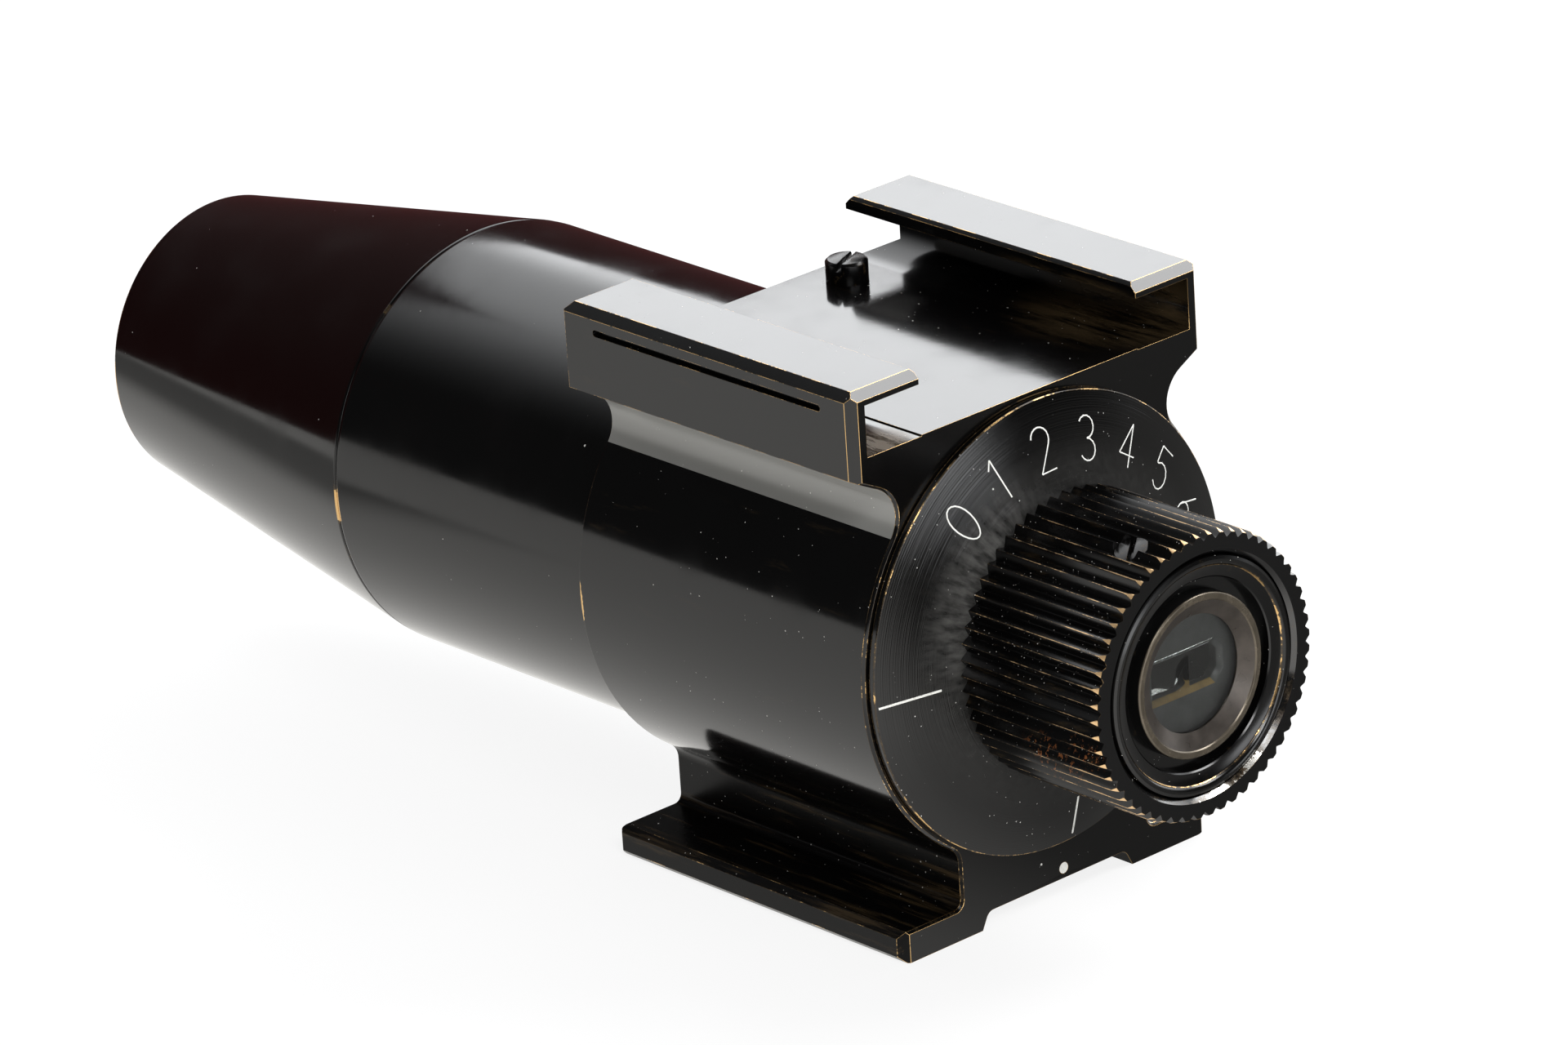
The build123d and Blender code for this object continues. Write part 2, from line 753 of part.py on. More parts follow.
# ---------------------------------------------------------------- reversion prism
slot_half_height = prism_height / 2
with BuildPart() as prism_holder:
    ring(-chamber_front, holder_end, 0, holder_radius)
    with BuildSketch(across(holder_end)):
        with Locations((0, clip_thickness / 2)):
            Rectangle(prism_width, prism_height + clip_thickness)
    extrude(amount=holder_end + prism_front, mode=Mode.SUBTRACT)
    with BuildSketch(across(-prism_front)) as window:
        Rectangle(window_width, window_height)
        chamfer(window.vertices().group_by(Axis.X)[-1], window_corner)
    extrude(amount=chamber_front - prism_front, mode=Mode.SUBTRACT)
    window_rim = prism_holder.faces().sort_by(Axis.Y)[0].inner_wires()[0].edges()
    chamfer(window_rim, window_bevel)
finish(prism_holder, "prism_holder")

with BuildPart() as reversion_prism:
    with BuildSketch(axial) as prism_side:
        with BuildLine():
            Polyline(
                (face_y - prism_front, -slot_half_height),
                (face_y + prism_end, -slot_half_height),
                (face_y + prism_end - prism_height, slot_half_height),
                (face_y - prism_front + prism_height, slot_half_height),
                close=True,
            )
        make_face()
    extrude(prism_side.sketch, amount=prism_width / 2, both=True)
finish(reversion_prism, "reversion_prism")

clip_length = prism_front + prism_end - 2 * prism_height - 2 * clip_margin
with BuildPart() as prism_clip:
    with BuildSketch(Plane.XY.offset(axis_height + slot_half_height)):
        with Locations((0, face_y + (prism_end - prism_front) / 2)):
            Rectangle(prism_width - 2 * clip_margin, clip_length)
    extrude(amount=clip_thickness)
finish(prism_clip, "prism_clip")

with BuildPart() as prism_retaining_ring:
    ring(holder_end, prism_ring_end, prism_ring_bore, chamber_radius)
    spanner_slots(prism_ring_end, 1, prism_ring_bore, chamber_radius)
finish(prism_retaining_ring, "prism_retaining_ring")
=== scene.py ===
"""Looks for the viewfinder scope: lacquer worn to brass, glass, engraved marks, light and camera.

The CAD model is the frame. Pieces whose edges and reflections matter are rebuilt here at the
CAD's sizes and stand for their nodes; the others keep their CAD mesh and get materials.
Lengths in the outlines are millimetres. A distance is measured along the optical axis from
the block's eyepiece face, positive towards the objective, as in the part's source.
"""

import math

import bmesh
import bpy
from mathutils import Matrix, Vector


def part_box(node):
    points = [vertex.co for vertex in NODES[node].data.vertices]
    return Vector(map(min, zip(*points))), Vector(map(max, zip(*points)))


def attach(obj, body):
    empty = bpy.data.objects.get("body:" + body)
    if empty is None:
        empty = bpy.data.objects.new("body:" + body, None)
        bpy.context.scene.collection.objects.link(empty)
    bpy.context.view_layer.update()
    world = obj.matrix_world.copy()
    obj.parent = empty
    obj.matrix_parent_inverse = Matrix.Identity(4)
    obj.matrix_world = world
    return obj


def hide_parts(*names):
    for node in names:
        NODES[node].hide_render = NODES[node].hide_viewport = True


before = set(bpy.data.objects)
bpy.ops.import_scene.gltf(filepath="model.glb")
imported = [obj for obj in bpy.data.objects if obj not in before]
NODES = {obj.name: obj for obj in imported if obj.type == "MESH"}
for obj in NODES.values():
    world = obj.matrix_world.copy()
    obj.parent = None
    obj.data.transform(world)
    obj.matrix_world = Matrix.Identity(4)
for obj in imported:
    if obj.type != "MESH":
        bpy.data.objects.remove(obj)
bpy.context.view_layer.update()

MM = 0.001


# ---------------------------------------------------------------- sizes from the frame
def span(node, axis):
    """The low and high end of a CAD node along an axis, in millimetres."""
    low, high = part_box(node)
    return low[axis] / MM, high[axis] / MM


FACE_Y, BLOCK_END_Y = span("mount_block", 1)
CAP_LOW, CAP_HIGH = span("index_cap", 2)
AXIS_HEIGHT = (CAP_LOW + CAP_HIGH) / 2
BLOCK_LENGTH = BLOCK_END_Y - FACE_Y
RAIL_TOP = span("mount_block", 2)[1]
BARREL_RADIUS = (span("barrel_tube", 0)[1] - span("barrel_tube", 0)[0]) / 2
BARREL_START = span("barrel_tube", 1)[0] - FACE_Y
BARREL_END = span("barrel_tube", 1)[1] - FACE_Y
HOOD_START = span("objective_hood", 1)[0] - FACE_Y
HOOD_END = span("objective_hood", 1)[1] - FACE_Y
CAP_RADIUS = (CAP_HIGH - CAP_LOW) / 2
CAP_FRONT = FACE_Y - span("index_cap", 1)[0]
HUB_END = span("index_cap", 1)[1] - FACE_Y
KNOB_FRONT = FACE_Y - span("knurled_knob", 1)[0]
FLANGE_RADIUS = (span("eyepiece_tube", 0)[1] - span("eyepiece_tube", 0)[0]) / 2
FLANGE_FRONT = FACE_Y - span("eyepiece_tube", 1)[0]
TUBE_END = span("eyepiece_tube", 1)[1] - FACE_Y
EYE_CELL_RADIUS = (span("eye_lens_cell", 0)[1] - span("eye_lens_cell", 0)[0]) / 2
EYE_CELL_FRONT = FACE_Y - span("eye_lens_cell", 1)[0]
EYE_CELL_BACK = FACE_Y - span("eye_lens_cell", 1)[1]
HOLDER_FRONT = span("prism_holder", 1)[0]

# Sizes that no node's box gives, as in the part's source
SHOE_FLOOR = AXIS_HEIGHT + 10.5
RAIL_UNDERSIDE = AXIS_HEIGHT + 9.5
THREAD_RADIUS = 8.6
BARREL_SPIGOT_BORE = 7.6
BARREL_BORE = 8.9
BARREL_BORE_TAPER = 1.5
HOOD_SPIGOT_BORE = 7.7
HOOD_WAIST_BORE = 7.2
LENS_CELL_BORE = 6.4
LENS_CELL_START = 41.0
LENS_CELL_END = 50.0
HOOD_BORE = 5.85
HOOD_BORE_BEVEL = 0.3
HOOD_MOUTH_RADIUS = 6.75
CAP_RIM = 0.37
CAP_GAP = 0.05
HUB_RADIUS = 6.95
KNOB_RADIUS = 6.4
KNOB_BEVEL = 0.12
KNOB_BEVEL_LENGTH = 0.32
KNOB_BORE_BEVEL = 0.18
FLUTES = 56
FLUTE_DEPTH = 0.34
SET_SCREW_RADIUS = 0.75
SET_SCREW_ANGLE = 107
SET_SCREW_FRONT = 7.5
TUBE_RADIUS = 5.2
FLANGE_BACK = 9.0
GROOVE_RADIUS = 4.25
GROOVE_FLOOR = 8.8
CHAMBER_RADIUS = 4.2
CHAMBER_FRONT = 8.45
EYE_LENS_RADIUS = 3.2
EYE_LENS_FRONT = 8.95
EYE_APERTURE = 2.6


def place(distance, radius, angle):
    """A point in metres; the angle runs in degrees from +X towards +Z."""
    turn = math.radians(angle)
    return Vector((
        radius * math.cos(turn) * MM,
        (FACE_Y + distance) * MM,
        (AXIS_HEIGHT + radius * math.sin(turn)) * MM,
    ))


# ---------------------------------------------------------------- shader building
def node(tree, kind, inputs=None, **settings):
    """Add a shader node; inputs are values or sockets, by name or by number."""
    made = tree.nodes.new("ShaderNode" + kind)
    for name, value in settings.items():
        setattr(made, name, value)
    for key, value in (inputs or {}).items():
        if isinstance(value, bpy.types.NodeSocket):
            tree.links.new(value, made.inputs[key])
        else:
            made.inputs[key].default_value = value
    return made


def calc(tree, operation, first, second=0.0, third=0.0, clamp=False):
    inputs = {0: first, 1: second, 2: third}
    return node(tree, "Math", inputs, operation=operation, use_clamp=clamp).outputs[0]


def product(tree, *factors):
    total = factors[0]
    for factor in factors[1:]:
        total = calc(tree, "MULTIPLY", total, factor)
    return total


def fade(tree, value, low, high):
    """0 where a value is under low, 1 where it is over high, smooth between them."""
    inputs = {"Value": value, "From Min": low, "From Max": high}
    return node(tree, "MapRange", inputs, interpolation_type="SMOOTHSTEP").outputs[0]


def blend(tree, share, first, second):
    """Mix two colours."""
    inputs = {"Factor": share, "A": first, "B": second}
    return node(tree, "Mix", inputs, data_type="RGBA").outputs["Result"]


def between(tree, share, first, second):
    """Mix two numbers."""
    inputs = {"Factor": share, "A": first, "B": second}
    return node(tree, "Mix", inputs, data_type="FLOAT").outputs["Result"]


def position(tree, stretch=(1.0, 1.0, 1.0)):
    """The place on the piece in millimetres, stretched along each axis."""
    place_node = node(tree, "TexCoord").outputs["Object"]
    scale = [factor / MM for factor in stretch]
    return node(tree, "VectorMath", {0: place_node, 1: scale}, operation="MULTIPLY").outputs[0]


def noise(tree, vector, size, detail=2.0, roughness=0.5):
    """Noise whose features are about size millimetres across."""
    inputs = {"Vector": vector, "Scale": 1 / size, "Detail": detail, "Roughness": roughness}
    return node(tree, "TexNoise", inputs).outputs["Fac"]


def specks(tree, vector, spacing, radius, share):
    """Scattered round specks; share is how many of the places hold one."""
    cells = node(tree, "TexVoronoi", {"Vector": vector, "Scale": 1 / spacing})
    chosen = node(tree, "SeparateColor", {0: cells.outputs["Color"]})
    size = calc(tree, "MULTIPLY", chosen.outputs[1], radius / spacing)
    round_spot = calc(tree, "LESS_THAN", cells.outputs["Distance"], size)
    held = calc(tree, "LESS_THAN", chosen.outputs[0], share)
    return calc(tree, "MULTIPLY", round_spot, held)


def start_material(name):
    material = bpy.data.materials.new(name)
    material.use_nodes = True
    tree = material.node_tree
    tree.nodes.clear()
    shader = node(tree, "BsdfPrincipled")
    output = node(tree, "OutputMaterial")
    tree.links.new(shader.outputs[0], output.inputs[0])
    return material, tree, shader


def join(tree, shader, **values):
    """Set or link the shader's sockets; an underscore in a name stands for a space."""
    for name, value in values.items():
        socket = shader.inputs[name.replace("_", " ")]
        if isinstance(value, bpy.types.NodeSocket):
            tree.links.new(value, socket)
        else:
            socket.default_value = value


BLACK = (0.0016, 0.0015, 0.0015, 1)
BRASS = (0.66, 0.43, 0.19, 1)
BROWN = (0.075, 0.05, 0.024, 1)
RUST = (0.25, 0.09, 0.03, 1)
DUST = (0.66, 0.65, 0.62, 1)


def from_axis(tree, point):
    """The distance from the optical axis in millimetres."""
    parts = node(tree, "SeparateXYZ", {0: point})
    height = calc(tree, "SUBTRACT", parts.outputs[2], AXIS_HEIGHT)
    squares = calc(tree, "ADD", calc(tree, "MULTIPLY", height, height),
                   calc(tree, "MULTIPLY", parts.outputs[0], parts.outputs[0]))
    return calc(tree, "SQRT", squares)


def round_axis(tree, point, around, outward):
    """Coordinates that follow the turn round the axis and the distance from it."""
    parts = node(tree, "SeparateXYZ", {0: point})
    height = calc(tree, "SUBTRACT", parts.outputs[2], AXIS_HEIGHT)
    turn = calc(tree, "MULTIPLY", calc(tree, "ARCTAN2", parts.outputs[0], height), around)
    reach = calc(tree, "MULTIPLY", from_axis(tree, point), outward)
    return node(tree, "CombineXYZ", {0: turn, 1: reach, 2: 0.0}).outputs[0]


def near(tree, point, centre, radius):
    """1 at a place given in metres, falling to 0 at a radius in millimetres."""
    middle = [value / MM for value in centre]
    far = node(tree, "VectorMath", {0: point, 1: middle}, operation="DISTANCE").outputs["Value"]
    return fade(tree, far, radius, radius * 0.3)


def rubbed_spots(tree, point, ragged_edge, bare_at):
    """1 inside ragged spots given by their middles and half sizes in millimetres."""
    bare = 0.0
    for centre, half_size in bare_at:
        offset = node(tree, "VectorMath", {0: point, 1: centre}, operation="SUBTRACT").outputs[0]
        offset = node(tree, "VectorMath", {0: offset, 1: half_size}, operation="DIVIDE").outputs[0]
        reach = node(tree, "VectorMath", {0: offset}, operation="LENGTH").outputs["Value"]
        shift = calc(tree, "MULTIPLY", calc(tree, "SUBTRACT", ragged_edge, 0.5), 0.8)
        bare = calc(tree, "MAXIMUM", bare, fade(tree, calc(tree, "ADD", reach, shift), 1.0, 0.86))
    return bare


def rubbed_thin(tree, point, broken, thin, streak, brown_at):
    """How far the lacquer is rubbed to translucent brown: in marks, at places and along edges."""
    marks = noise(tree, position(tree, streak), 0.6, 5.0, 0.68)
    worn_thin = fade(tree, calc(tree, "ADD", marks, thin * 0.3), 0.62, 0.78)
    worn_thin = calc(tree, "MULTIPLY", worn_thin, min(1.0, thin * 1.6))
    height = node(tree, "SeparateXYZ", {0: point}).outputs[2]
    under_rail_tops = fade(tree, height, RAIL_TOP - 0.3, RAIL_TOP - 0.6)
    for centre, radius in brown_at:
        mottled = fade(tree, marks, 0.34, 0.58)
        handled = product(tree, mottled, near(tree, point, centre, radius), under_rail_tops)
        worn_thin = calc(tree, "MAXIMUM", worn_thin, handled)
    edging = calc(tree, "MULTIPLY", fade(tree, broken, 0.55, 0.95), 0.7)
    return calc(tree, "MAXIMUM", worn_thin, edging)


def dust_spots(tree, point, dust, grit):
    """1 on specks of dust: small ones in crowds, a few large ones, and very fine grit."""
    crowd = fade(tree, noise(tree, point, 2.2, 2.0), 0.38, 0.62)
    small = specks(tree, point, 0.26, 0.032, dust)
    large = specks(tree, point, 0.9, 0.055, dust * 0.5)
    spots = calc(tree, "MAXIMUM", calc(tree, "MULTIPLY", small, crowd), large)
    if grit:
        spots = calc(tree, "MAXIMUM", spots, specks(tree, point, 0.14, 0.024, grit))
    return spots


def dust_film_and_sheen(tree, point, film, film_at):
    """The share of dust in a film round the axis, with a painted sheen of radial streaks on it round a given
    place.
    """
    dulled = fade(tree, from_axis(tree, point), film[1], film[0])
    even = calc(tree, "MULTIPLY", noise(tree, point, 0.3, 3.0, 0.5), 0.035)
    radial_streaks = noise(tree, round_axis(tree, point, 7.4, 0.35), 0.35, 3.0, 0.55)
    # Painted sheen: streaks of dust colour round film_at that brighten the film where the turned lacquer's
    # spread reflection falls
    painted_sheen = product(tree, fade(tree, radial_streaks, 0.25, 0.75), 0.1, near(tree, point, *film_at))
    return calc(tree, "MULTIPLY", dulled, calc(tree, "ADD", even, painted_sheen))


def rust_flakes(tree, point, rust_at):
    """1 on flakes of rust round each place, within its radius in millimetres."""
    rusty = 0.0
    for centre, radius in rust_at:
        flakes = fade(tree, noise(tree, point, 0.22, 3.0, 0.7), 0.56, 0.64)
        flakes = calc(tree, "MULTIPLY", flakes, near(tree, point, centre, radius))
        rusty = calc(tree, "MAXIMUM", rusty, flakes)
    return rusty


def lacquer_relief(tree, point, bare, spots, turned):
    """The surface's height in millimetres: orange peel, grain, chips, specks and turned grooves."""
    peel = calc(tree, "MULTIPLY", noise(tree, point, 0.5, 3.0, 0.5), 0.001)
    grain = calc(tree, "MULTIPLY", noise(tree, point, 0.045, 2.0, 0.5), 0.00022)
    height = calc(tree, "ADD", peel, grain)
    height = calc(tree, "SUBTRACT", height, calc(tree, "MULTIPLY", bare, 0.004))
    height = calc(tree, "ADD", height, calc(tree, "MULTIPLY", spots, 0.01))
    if turned:
        rings = node(tree, "CombineXYZ", {0: from_axis(tree, point)}).outputs[0]
        height = calc(tree, "ADD", height, calc(tree, "MULTIPLY", noise(tree, rings, 0.05, 2.0), turned))
    return height


def lacquer(name, gloss=0.1, specular=0.42, base=BLACK, thin=0.0, streak=(1, 1, 1), dust=0.3, grit=0.0,
            bare_metal=BRASS, bare_shine=1.0, bare_at=(), brown_at=(), rust_at=(), film=None,
            film_at=None, turned=0.0):
    """Black lacquer over brass.

    The attribute "wear" marks rubbed edges: at 1 about half the edge is bare, in broken
    lines; on the knob's bore bevel it also carries a painted highlight. thin is how much of
    the surface is rubbed to translucent brown, and streak stretches those marks; brown_at
    lists places and radii with more of them, and rust_at those with brown spots. grit is the
    share of very fine dust. film is a pair of distances from the axis, between which a film
    of dust fades out; film_at is a place and a radius where a painted sheen of radial
    streaks lies on the film. turned is the depth of the fine grooves round the axis, in
    millimetres. bare_at lists the middles and half sizes of spots rubbed down to the metal,
    and bare_shine is how metallic the bare metal looks.
    """
    material, tree, shader = start_material(name)
    point = position(tree)
    rubbed = node(tree, "Attribute", attribute_name="wear").outputs["Fac"]
    coarse = noise(tree, point, 1.5, 2.0, 0.5)
    fine = noise(tree, point, 0.16, 3.0, 0.6)
    patches = calc(tree, "ADD", calc(tree, "MULTIPLY", coarse, 1.5), calc(tree, "MULTIPLY", fine, 0.9))
    broken = calc(tree, "ADD", rubbed, calc(tree, "SUBTRACT", patches, 1.2))
    bare = fade(tree, broken, 0.94, 1.06)
    if bare_at:
        bare = calc(tree, "MAXIMUM", bare, rubbed_spots(tree, point, fine, bare_at))
    worn_thin = rubbed_thin(tree, point, broken, thin, streak, brown_at)
    spots = dust_spots(tree, point, dust, grit)
    rusty = rust_flakes(tree, point, rust_at)

    colour = blend(tree, worn_thin, base, BROWN)
    colour = blend(tree, bare, colour, bare_metal)
    if rust_at:
        colour = blend(tree, rusty, colour, RUST)
    if film:
        # The film's colour also carries the painted sheen
        colour = blend(tree, dust_film_and_sheen(tree, point, film, film_at), colour, DUST)
    colour = blend(tree, spots, colour, DUST)

    metallic = calc(tree, "MULTIPLY", bare, bare_shine)
    metallic = calc(tree, "MAXIMUM", metallic, calc(tree, "MULTIPLY", worn_thin, 0.3))
    clean = calc(tree, "SUBTRACT", 1.0, calc(tree, "MAXIMUM", spots, rusty))
    smudge = fade(tree, noise(tree, point, 3.5, 3.0, 0.55), 0.42, 0.8)
    rough = calc(tree, "ADD", gloss, calc(tree, "MULTIPLY", smudge, 0.06))
    rough = between(tree, worn_thin, rough, 0.3)
    rough = between(tree, bare, rough, 0.27)
    rough = between(tree, spots, rough, 0.8)
    height = lacquer_relief(tree, point, bare, spots, turned)
    bump = node(tree, "Bump", {"Height": height, "Distance": MM, "Strength": 0.8})
    join(tree, shader, Base_Color=colour, Roughness=rough, Normal=bump.outputs[0],
         Metallic=calc(tree, "MULTIPLY", metallic, clean), Specular_IOR_Level=specular)
    return material


def metal(name, colour, rough, metallic, grain=0.12, turned=False, tint=0.35):
    """Plain finished metal with fine grain; turned metal has its grain round the axis."""
    material, tree, shader = start_material(name)
    point = position(tree)
    if turned:
        along = node(tree, "SeparateXYZ", {0: point}).outputs[1]
        rings = node(tree, "CombineXYZ", {0: from_axis(tree, point), 1: along, 2: 0.0})
        lines = noise(tree, rings.outputs[0], 0.03, 3.0, 0.7)
    else:
        lines = noise(tree, point, 0.06, 4.0, 0.6)
    cloud = noise(tree, point, 0.8, 3.0, 0.6)
    darker = tuple(channel * (1 - tint) for channel in colour[:3]) + (1,)
    shade = blend(tree, fade(tree, cloud, 0.3, 0.75), darker, colour)
    bump = node(tree, "Bump", {"Height": lines, "Distance": 0.003 * MM, "Strength": grain * 4})
    wander = calc(tree, "MULTIPLY", calc(tree, "SUBTRACT", cloud, 0.5), 0.16)
    join(tree, shader, Base_Color=shade, Metallic=metallic, Normal=bump.outputs[0],
         Roughness=calc(tree, "ADD", rough, wander))
    return material


def enamel(name):
    """White filling paint in engraved marks, slightly chalky, with some dirt."""
    material, tree, shader = start_material(name)
    point = position(tree)
    dirt = fade(tree, noise(tree, point, 0.25, 4.0, 0.65), 0.52, 0.78)
    colour = blend(tree, calc(tree, "MULTIPLY", dirt, 0.6), (0.86, 0.86, 0.82, 1), (0.42, 0.38, 0.30, 1))
    bump = node(tree, "Bump", {"Height": noise(tree, point, 0.06, 3.0), "Distance": 0.006 * MM})
    join(tree, shader, Base_Color=colour, Roughness=0.55, Normal=bump.outputs[0])
    return material


def glass(name, colour=(0.9, 0.93, 0.91, 1)):
    """Old optical glass with a few fine specks of dust on it."""
    material, tree, shader = start_material(name)
    point = position(tree)
    spots = specks(tree, point, 0.6, 0.03, 0.5)
    haze = fade(tree, noise(tree, point, 1.6, 4.0, 0.6), 0.5, 0.9)
    rough = between(tree, spots, calc(tree, "MULTIPLY", haze, 0.05), 0.7)
    join(tree, shader, Base_Color=colour, Roughness=rough, Transmission_Weight=1.0, IOR=1.5,
         Specular_IOR_Level=0.4)
    return material


# ---------------------------------------------------------------- mesh building
def show(name, mesh, body, materials, stands_for=(), sharp=32):
    """Put a finished mesh in the scene, riding on its body and standing for its CAD nodes."""
    for material in materials:
        mesh.materials.append(material)
    mesh.polygons.foreach_set("use_smooth", [True] * len(mesh.polygons))
    mesh.set_sharp_from_angle(angle=math.radians(sharp))
    piece = bpy.data.objects.new(name, mesh)
    bpy.context.scene.collection.objects.link(piece)
    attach(piece, body)
    if stands_for:
        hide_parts(*stands_for)
    return piece


SUPPORT = 0.03      # how far beyond a rounded corner its wear fades out
ARC_STEPS = 4


def rounded(outline):
    """Round the corners of a closed outline of (distance, radius, rounding, wear)."""
    points = []
    for index, (distance, radius, rounding, wear) in enumerate(outline):
        corner = Vector((distance, radius))
        if rounding == 0:
            points.append((corner, wear))
            continue
        before = Vector(outline[index - 1][:2]) - corner
        after = Vector(outline[(index + 1) % len(outline)][:2]) - corner
        turn = math.pi - before.angle(after)
        reach = min(rounding * math.tan(turn / 2), before.length * 0.45, after.length * 0.45)
        before.normalize()
        after.normalize()
        start = corner + before * reach
        end = corner + after * reach
        points.append((start + before * min(SUPPORT, reach), 0.0))
        for step in range(ARC_STEPS + 1):
            share = step / ARC_STEPS
            curve = start * (1 - share) ** 2 + corner * 2 * share * (1 - share) + end * share**2
            points.append((curve, wear))
        points.append((end + after * min(SUPPORT, reach), 0.0))
    return points


def lathe(outline, segments=240, rubs=()):
    """Revolve a closed outline about the optical axis, with its wear as an attribute.

    rubs is a list of (angle, half width in degrees, strength): places round the axis where
    the outline's wear is stronger.
    """
    points = rounded(outline)
    mesh = bpy.data.meshes.new("lathe")
    corners = []
    wear = []
    for step in range(segments):
        turn = 360 * step / segments
        local = 1.0
        for angle, half_width, strength in rubs:
            off = (turn - angle + 180) % 360 - 180
            local += strength * math.exp(-(off / half_width) ** 2)
        for point, worn in points:
            corners.append(place(point[0], point[1], turn))
            wear.append(worn * local)
    count = len(points)
    faces = []
    for step in range(segments):
        here = step * count
        there = (step + 1) % segments * count
        for index in range(count):
            after = (index + 1) % count
            faces.append((here + index, here + after, there + after, there + index))
    mesh.from_pydata(corners, [], faces)
    mesh.attributes.new("wear", "FLOAT", "POINT").data.foreach_set("value", wear)
    fix_normals(mesh)
    return mesh


def fix_normals(mesh):
    work = bmesh.new()
    work.from_mesh(mesh)
    bmesh.ops.recalc_face_normals(work, faces=work.faces)
    work.to_mesh(mesh)
    work.free()


def softened(node_name, width, wear_at, steps=2):
    """A copy of a CAD node's mesh with its outer edges rounded.

    wear_at gives the wear of a rounding from its middle, in millimetres.
    """
    mesh = NODES[node_name].data.copy()
    mesh.materials.clear()
    work = bmesh.new()
    work.from_mesh(mesh)
    bmesh.ops.remove_doubles(work, verts=work.verts, dist=0.0005 * MM)
    bmesh.ops.dissolve_limit(work, angle_limit=math.radians(0.4), verts=work.verts, edges=work.edges)
    bmesh.ops.recalc_face_normals(work, faces=work.faces)
    work.normal_update()
    layer = work.faces.layers.float.new("wear")
    outer = [
        edge for edge in work.edges
        if edge.is_manifold and edge.is_convex and edge.calc_face_angle(0.0) > math.radians(20)
    ]
    made = bmesh.ops.bevel(
        work, geom=outer, offset=width * MM, offset_type="OFFSET", segments=steps,
        profile=0.5, affect="EDGES", clamp_overlap=True,
    )
    for face in made["faces"]:
        face[layer] = wear_at(face.calc_center_median() / MM)
    work.to_mesh(mesh)
    work.free()
    mesh.update()
    return mesh


# ---------------------------------------------------------------- materials
gloss_lacquer = lacquer("gloss_lacquer", dust=0.05)
# The cone: a dust film round the knob, with a painted sheen in radial streaks on its upper left
cone_lacquer = lacquer("cone_lacquer", dust=0.45, film=(6.6, 8.8), film_at=(place(-1.4, 7.4, 146), 6.5),
                       turned=0.013)
block_lacquer = lacquer("block_lacquer", thin=0.08, streak=(1.0, 0.14, 1.0), dust=0.35, brown_at=[
    (Vector((9.6, -5.0, SHOE_FLOOR + 1.6)) * MM, 6.0),
    (Vector((-8.0, -8.0, SHOE_FLOOR)) * MM, 2.3),
], bare_at=[((-10.5, BLOCK_END_Y, AXIS_HEIGHT - 0.4), (0.6, 0.24, 1.25))])
foot_lacquer = lacquer("foot_lacquer", gloss=0.26, specular=0.12, thin=0.3, streak=(1.0, 0.06, 1.0), dust=0.5)
# The cove under the rails: black lacquer with a grey base colour as a painted lighter reflection, and brown
# rubbed streaks
cove_lacquer_painted_light = lacquer("cove_lacquer_painted_light", gloss=0.3, specular=0.9, thin=0.1, streak=(1.0, 0.04, 1.0),
                       base=(0.22, 0.22, 0.21, 1))
face_lacquer = lacquer("face_lacquer", gloss=0.2, specular=0.3, dust=0.3)
knob_lacquer = lacquer("knob_lacquer", gloss=0.2, thin=0.2, dust=0.7, grit=0.2, streak=(1.0, 0.25, 1.0),
                       bare_metal=(0.78, 0.52, 0.27, 1), bare_shine=0.55,
                       rust_at=[(place(-6.2, 6.3, 207), 1.9), (place(-8.6, 6.3, 196), 1.2)])
matt_lacquer = lacquer("matt_lacquer", gloss=0.5, specular=0.2, dust=0.35)
bead_lacquer = lacquer("bead_lacquer", gloss=0.18, specular=0.45, thin=0.12, dust=0.4)
# The knob's bore bevel: pale bare metal where rubbed, and a painted highlight at its lower right
bore_bevel_wear_and_highlight = lacquer("bore_bevel_wear_and_highlight", gloss=0.12, specular=0.9, dust=0.5, bare_metal=(0.78, 0.76, 0.71, 1))
dark_cell = metal("dark_cell", (0.085, 0.072, 0.062, 1), 0.3, 0.55, turned=True)
ring_face = metal("ring_face", (0.14, 0.117, 0.087, 1), 0.26, 0.6, turned=True)
dull_brass = metal("dull_brass", (0.27, 0.17, 0.05, 1), 0.5, 0.55)
dark_plate = metal("dark_plate", (0.058, 0.058, 0.06, 1), 0.38, 0.2)
screw_lacquer = lacquer("screw_lacquer", gloss=0.2, specular=0.26, thin=0.3, dust=0.3)
# Bright steel for the pin, ball and spring; on the prism holder's window it is a painted highlight
bright_steel_and_highlight = metal("bright_steel_and_highlight", (0.55, 0.55, 0.56, 1), 0.25, 1.0)
turned_brass = metal("turned_brass", (0.72, 0.52, 0.25, 1), 0.28, 1.0, turned=True)
white_paint = enamel("white_paint_fill")
optical_glass = glass("optical_glass_clear")
# The prism's glass is tinted dark grey: painted shade in the view through the eye lens
shaded_prism_glass = glass("prism_glass_painted_shade", (0.25, 0.26, 0.26, 1))

PLAIN = {
    "index_dot": white_paint,
    "stop_pin": bright_steel_and_highlight,
    "detent_ball": bright_steel_and_highlight,
    "detent_spring": bright_steel_and_highlight,
    "prism_clip": dark_cell,
    "field_mask": dark_plate,
    "mask_retaining_ring": dark_cell,
    "objective_cell": dark_cell,
    "objective_retaining_ring": dark_cell,
    "objective_crown_lens": optical_glass,
    "objective_flint_lens": optical_glass,
    "thrust_washer": turned_brass,
    "retaining_nut": turned_brass,
    "eye_lens": optical_glass,
    "reversion_prism": shaded_prism_glass,
    "prism_retaining_ring": dark_cell,
}
for name, material in PLAIN.items():
    NODES[name].data.materials.clear()
    NODES[name].data.materials.append(material)

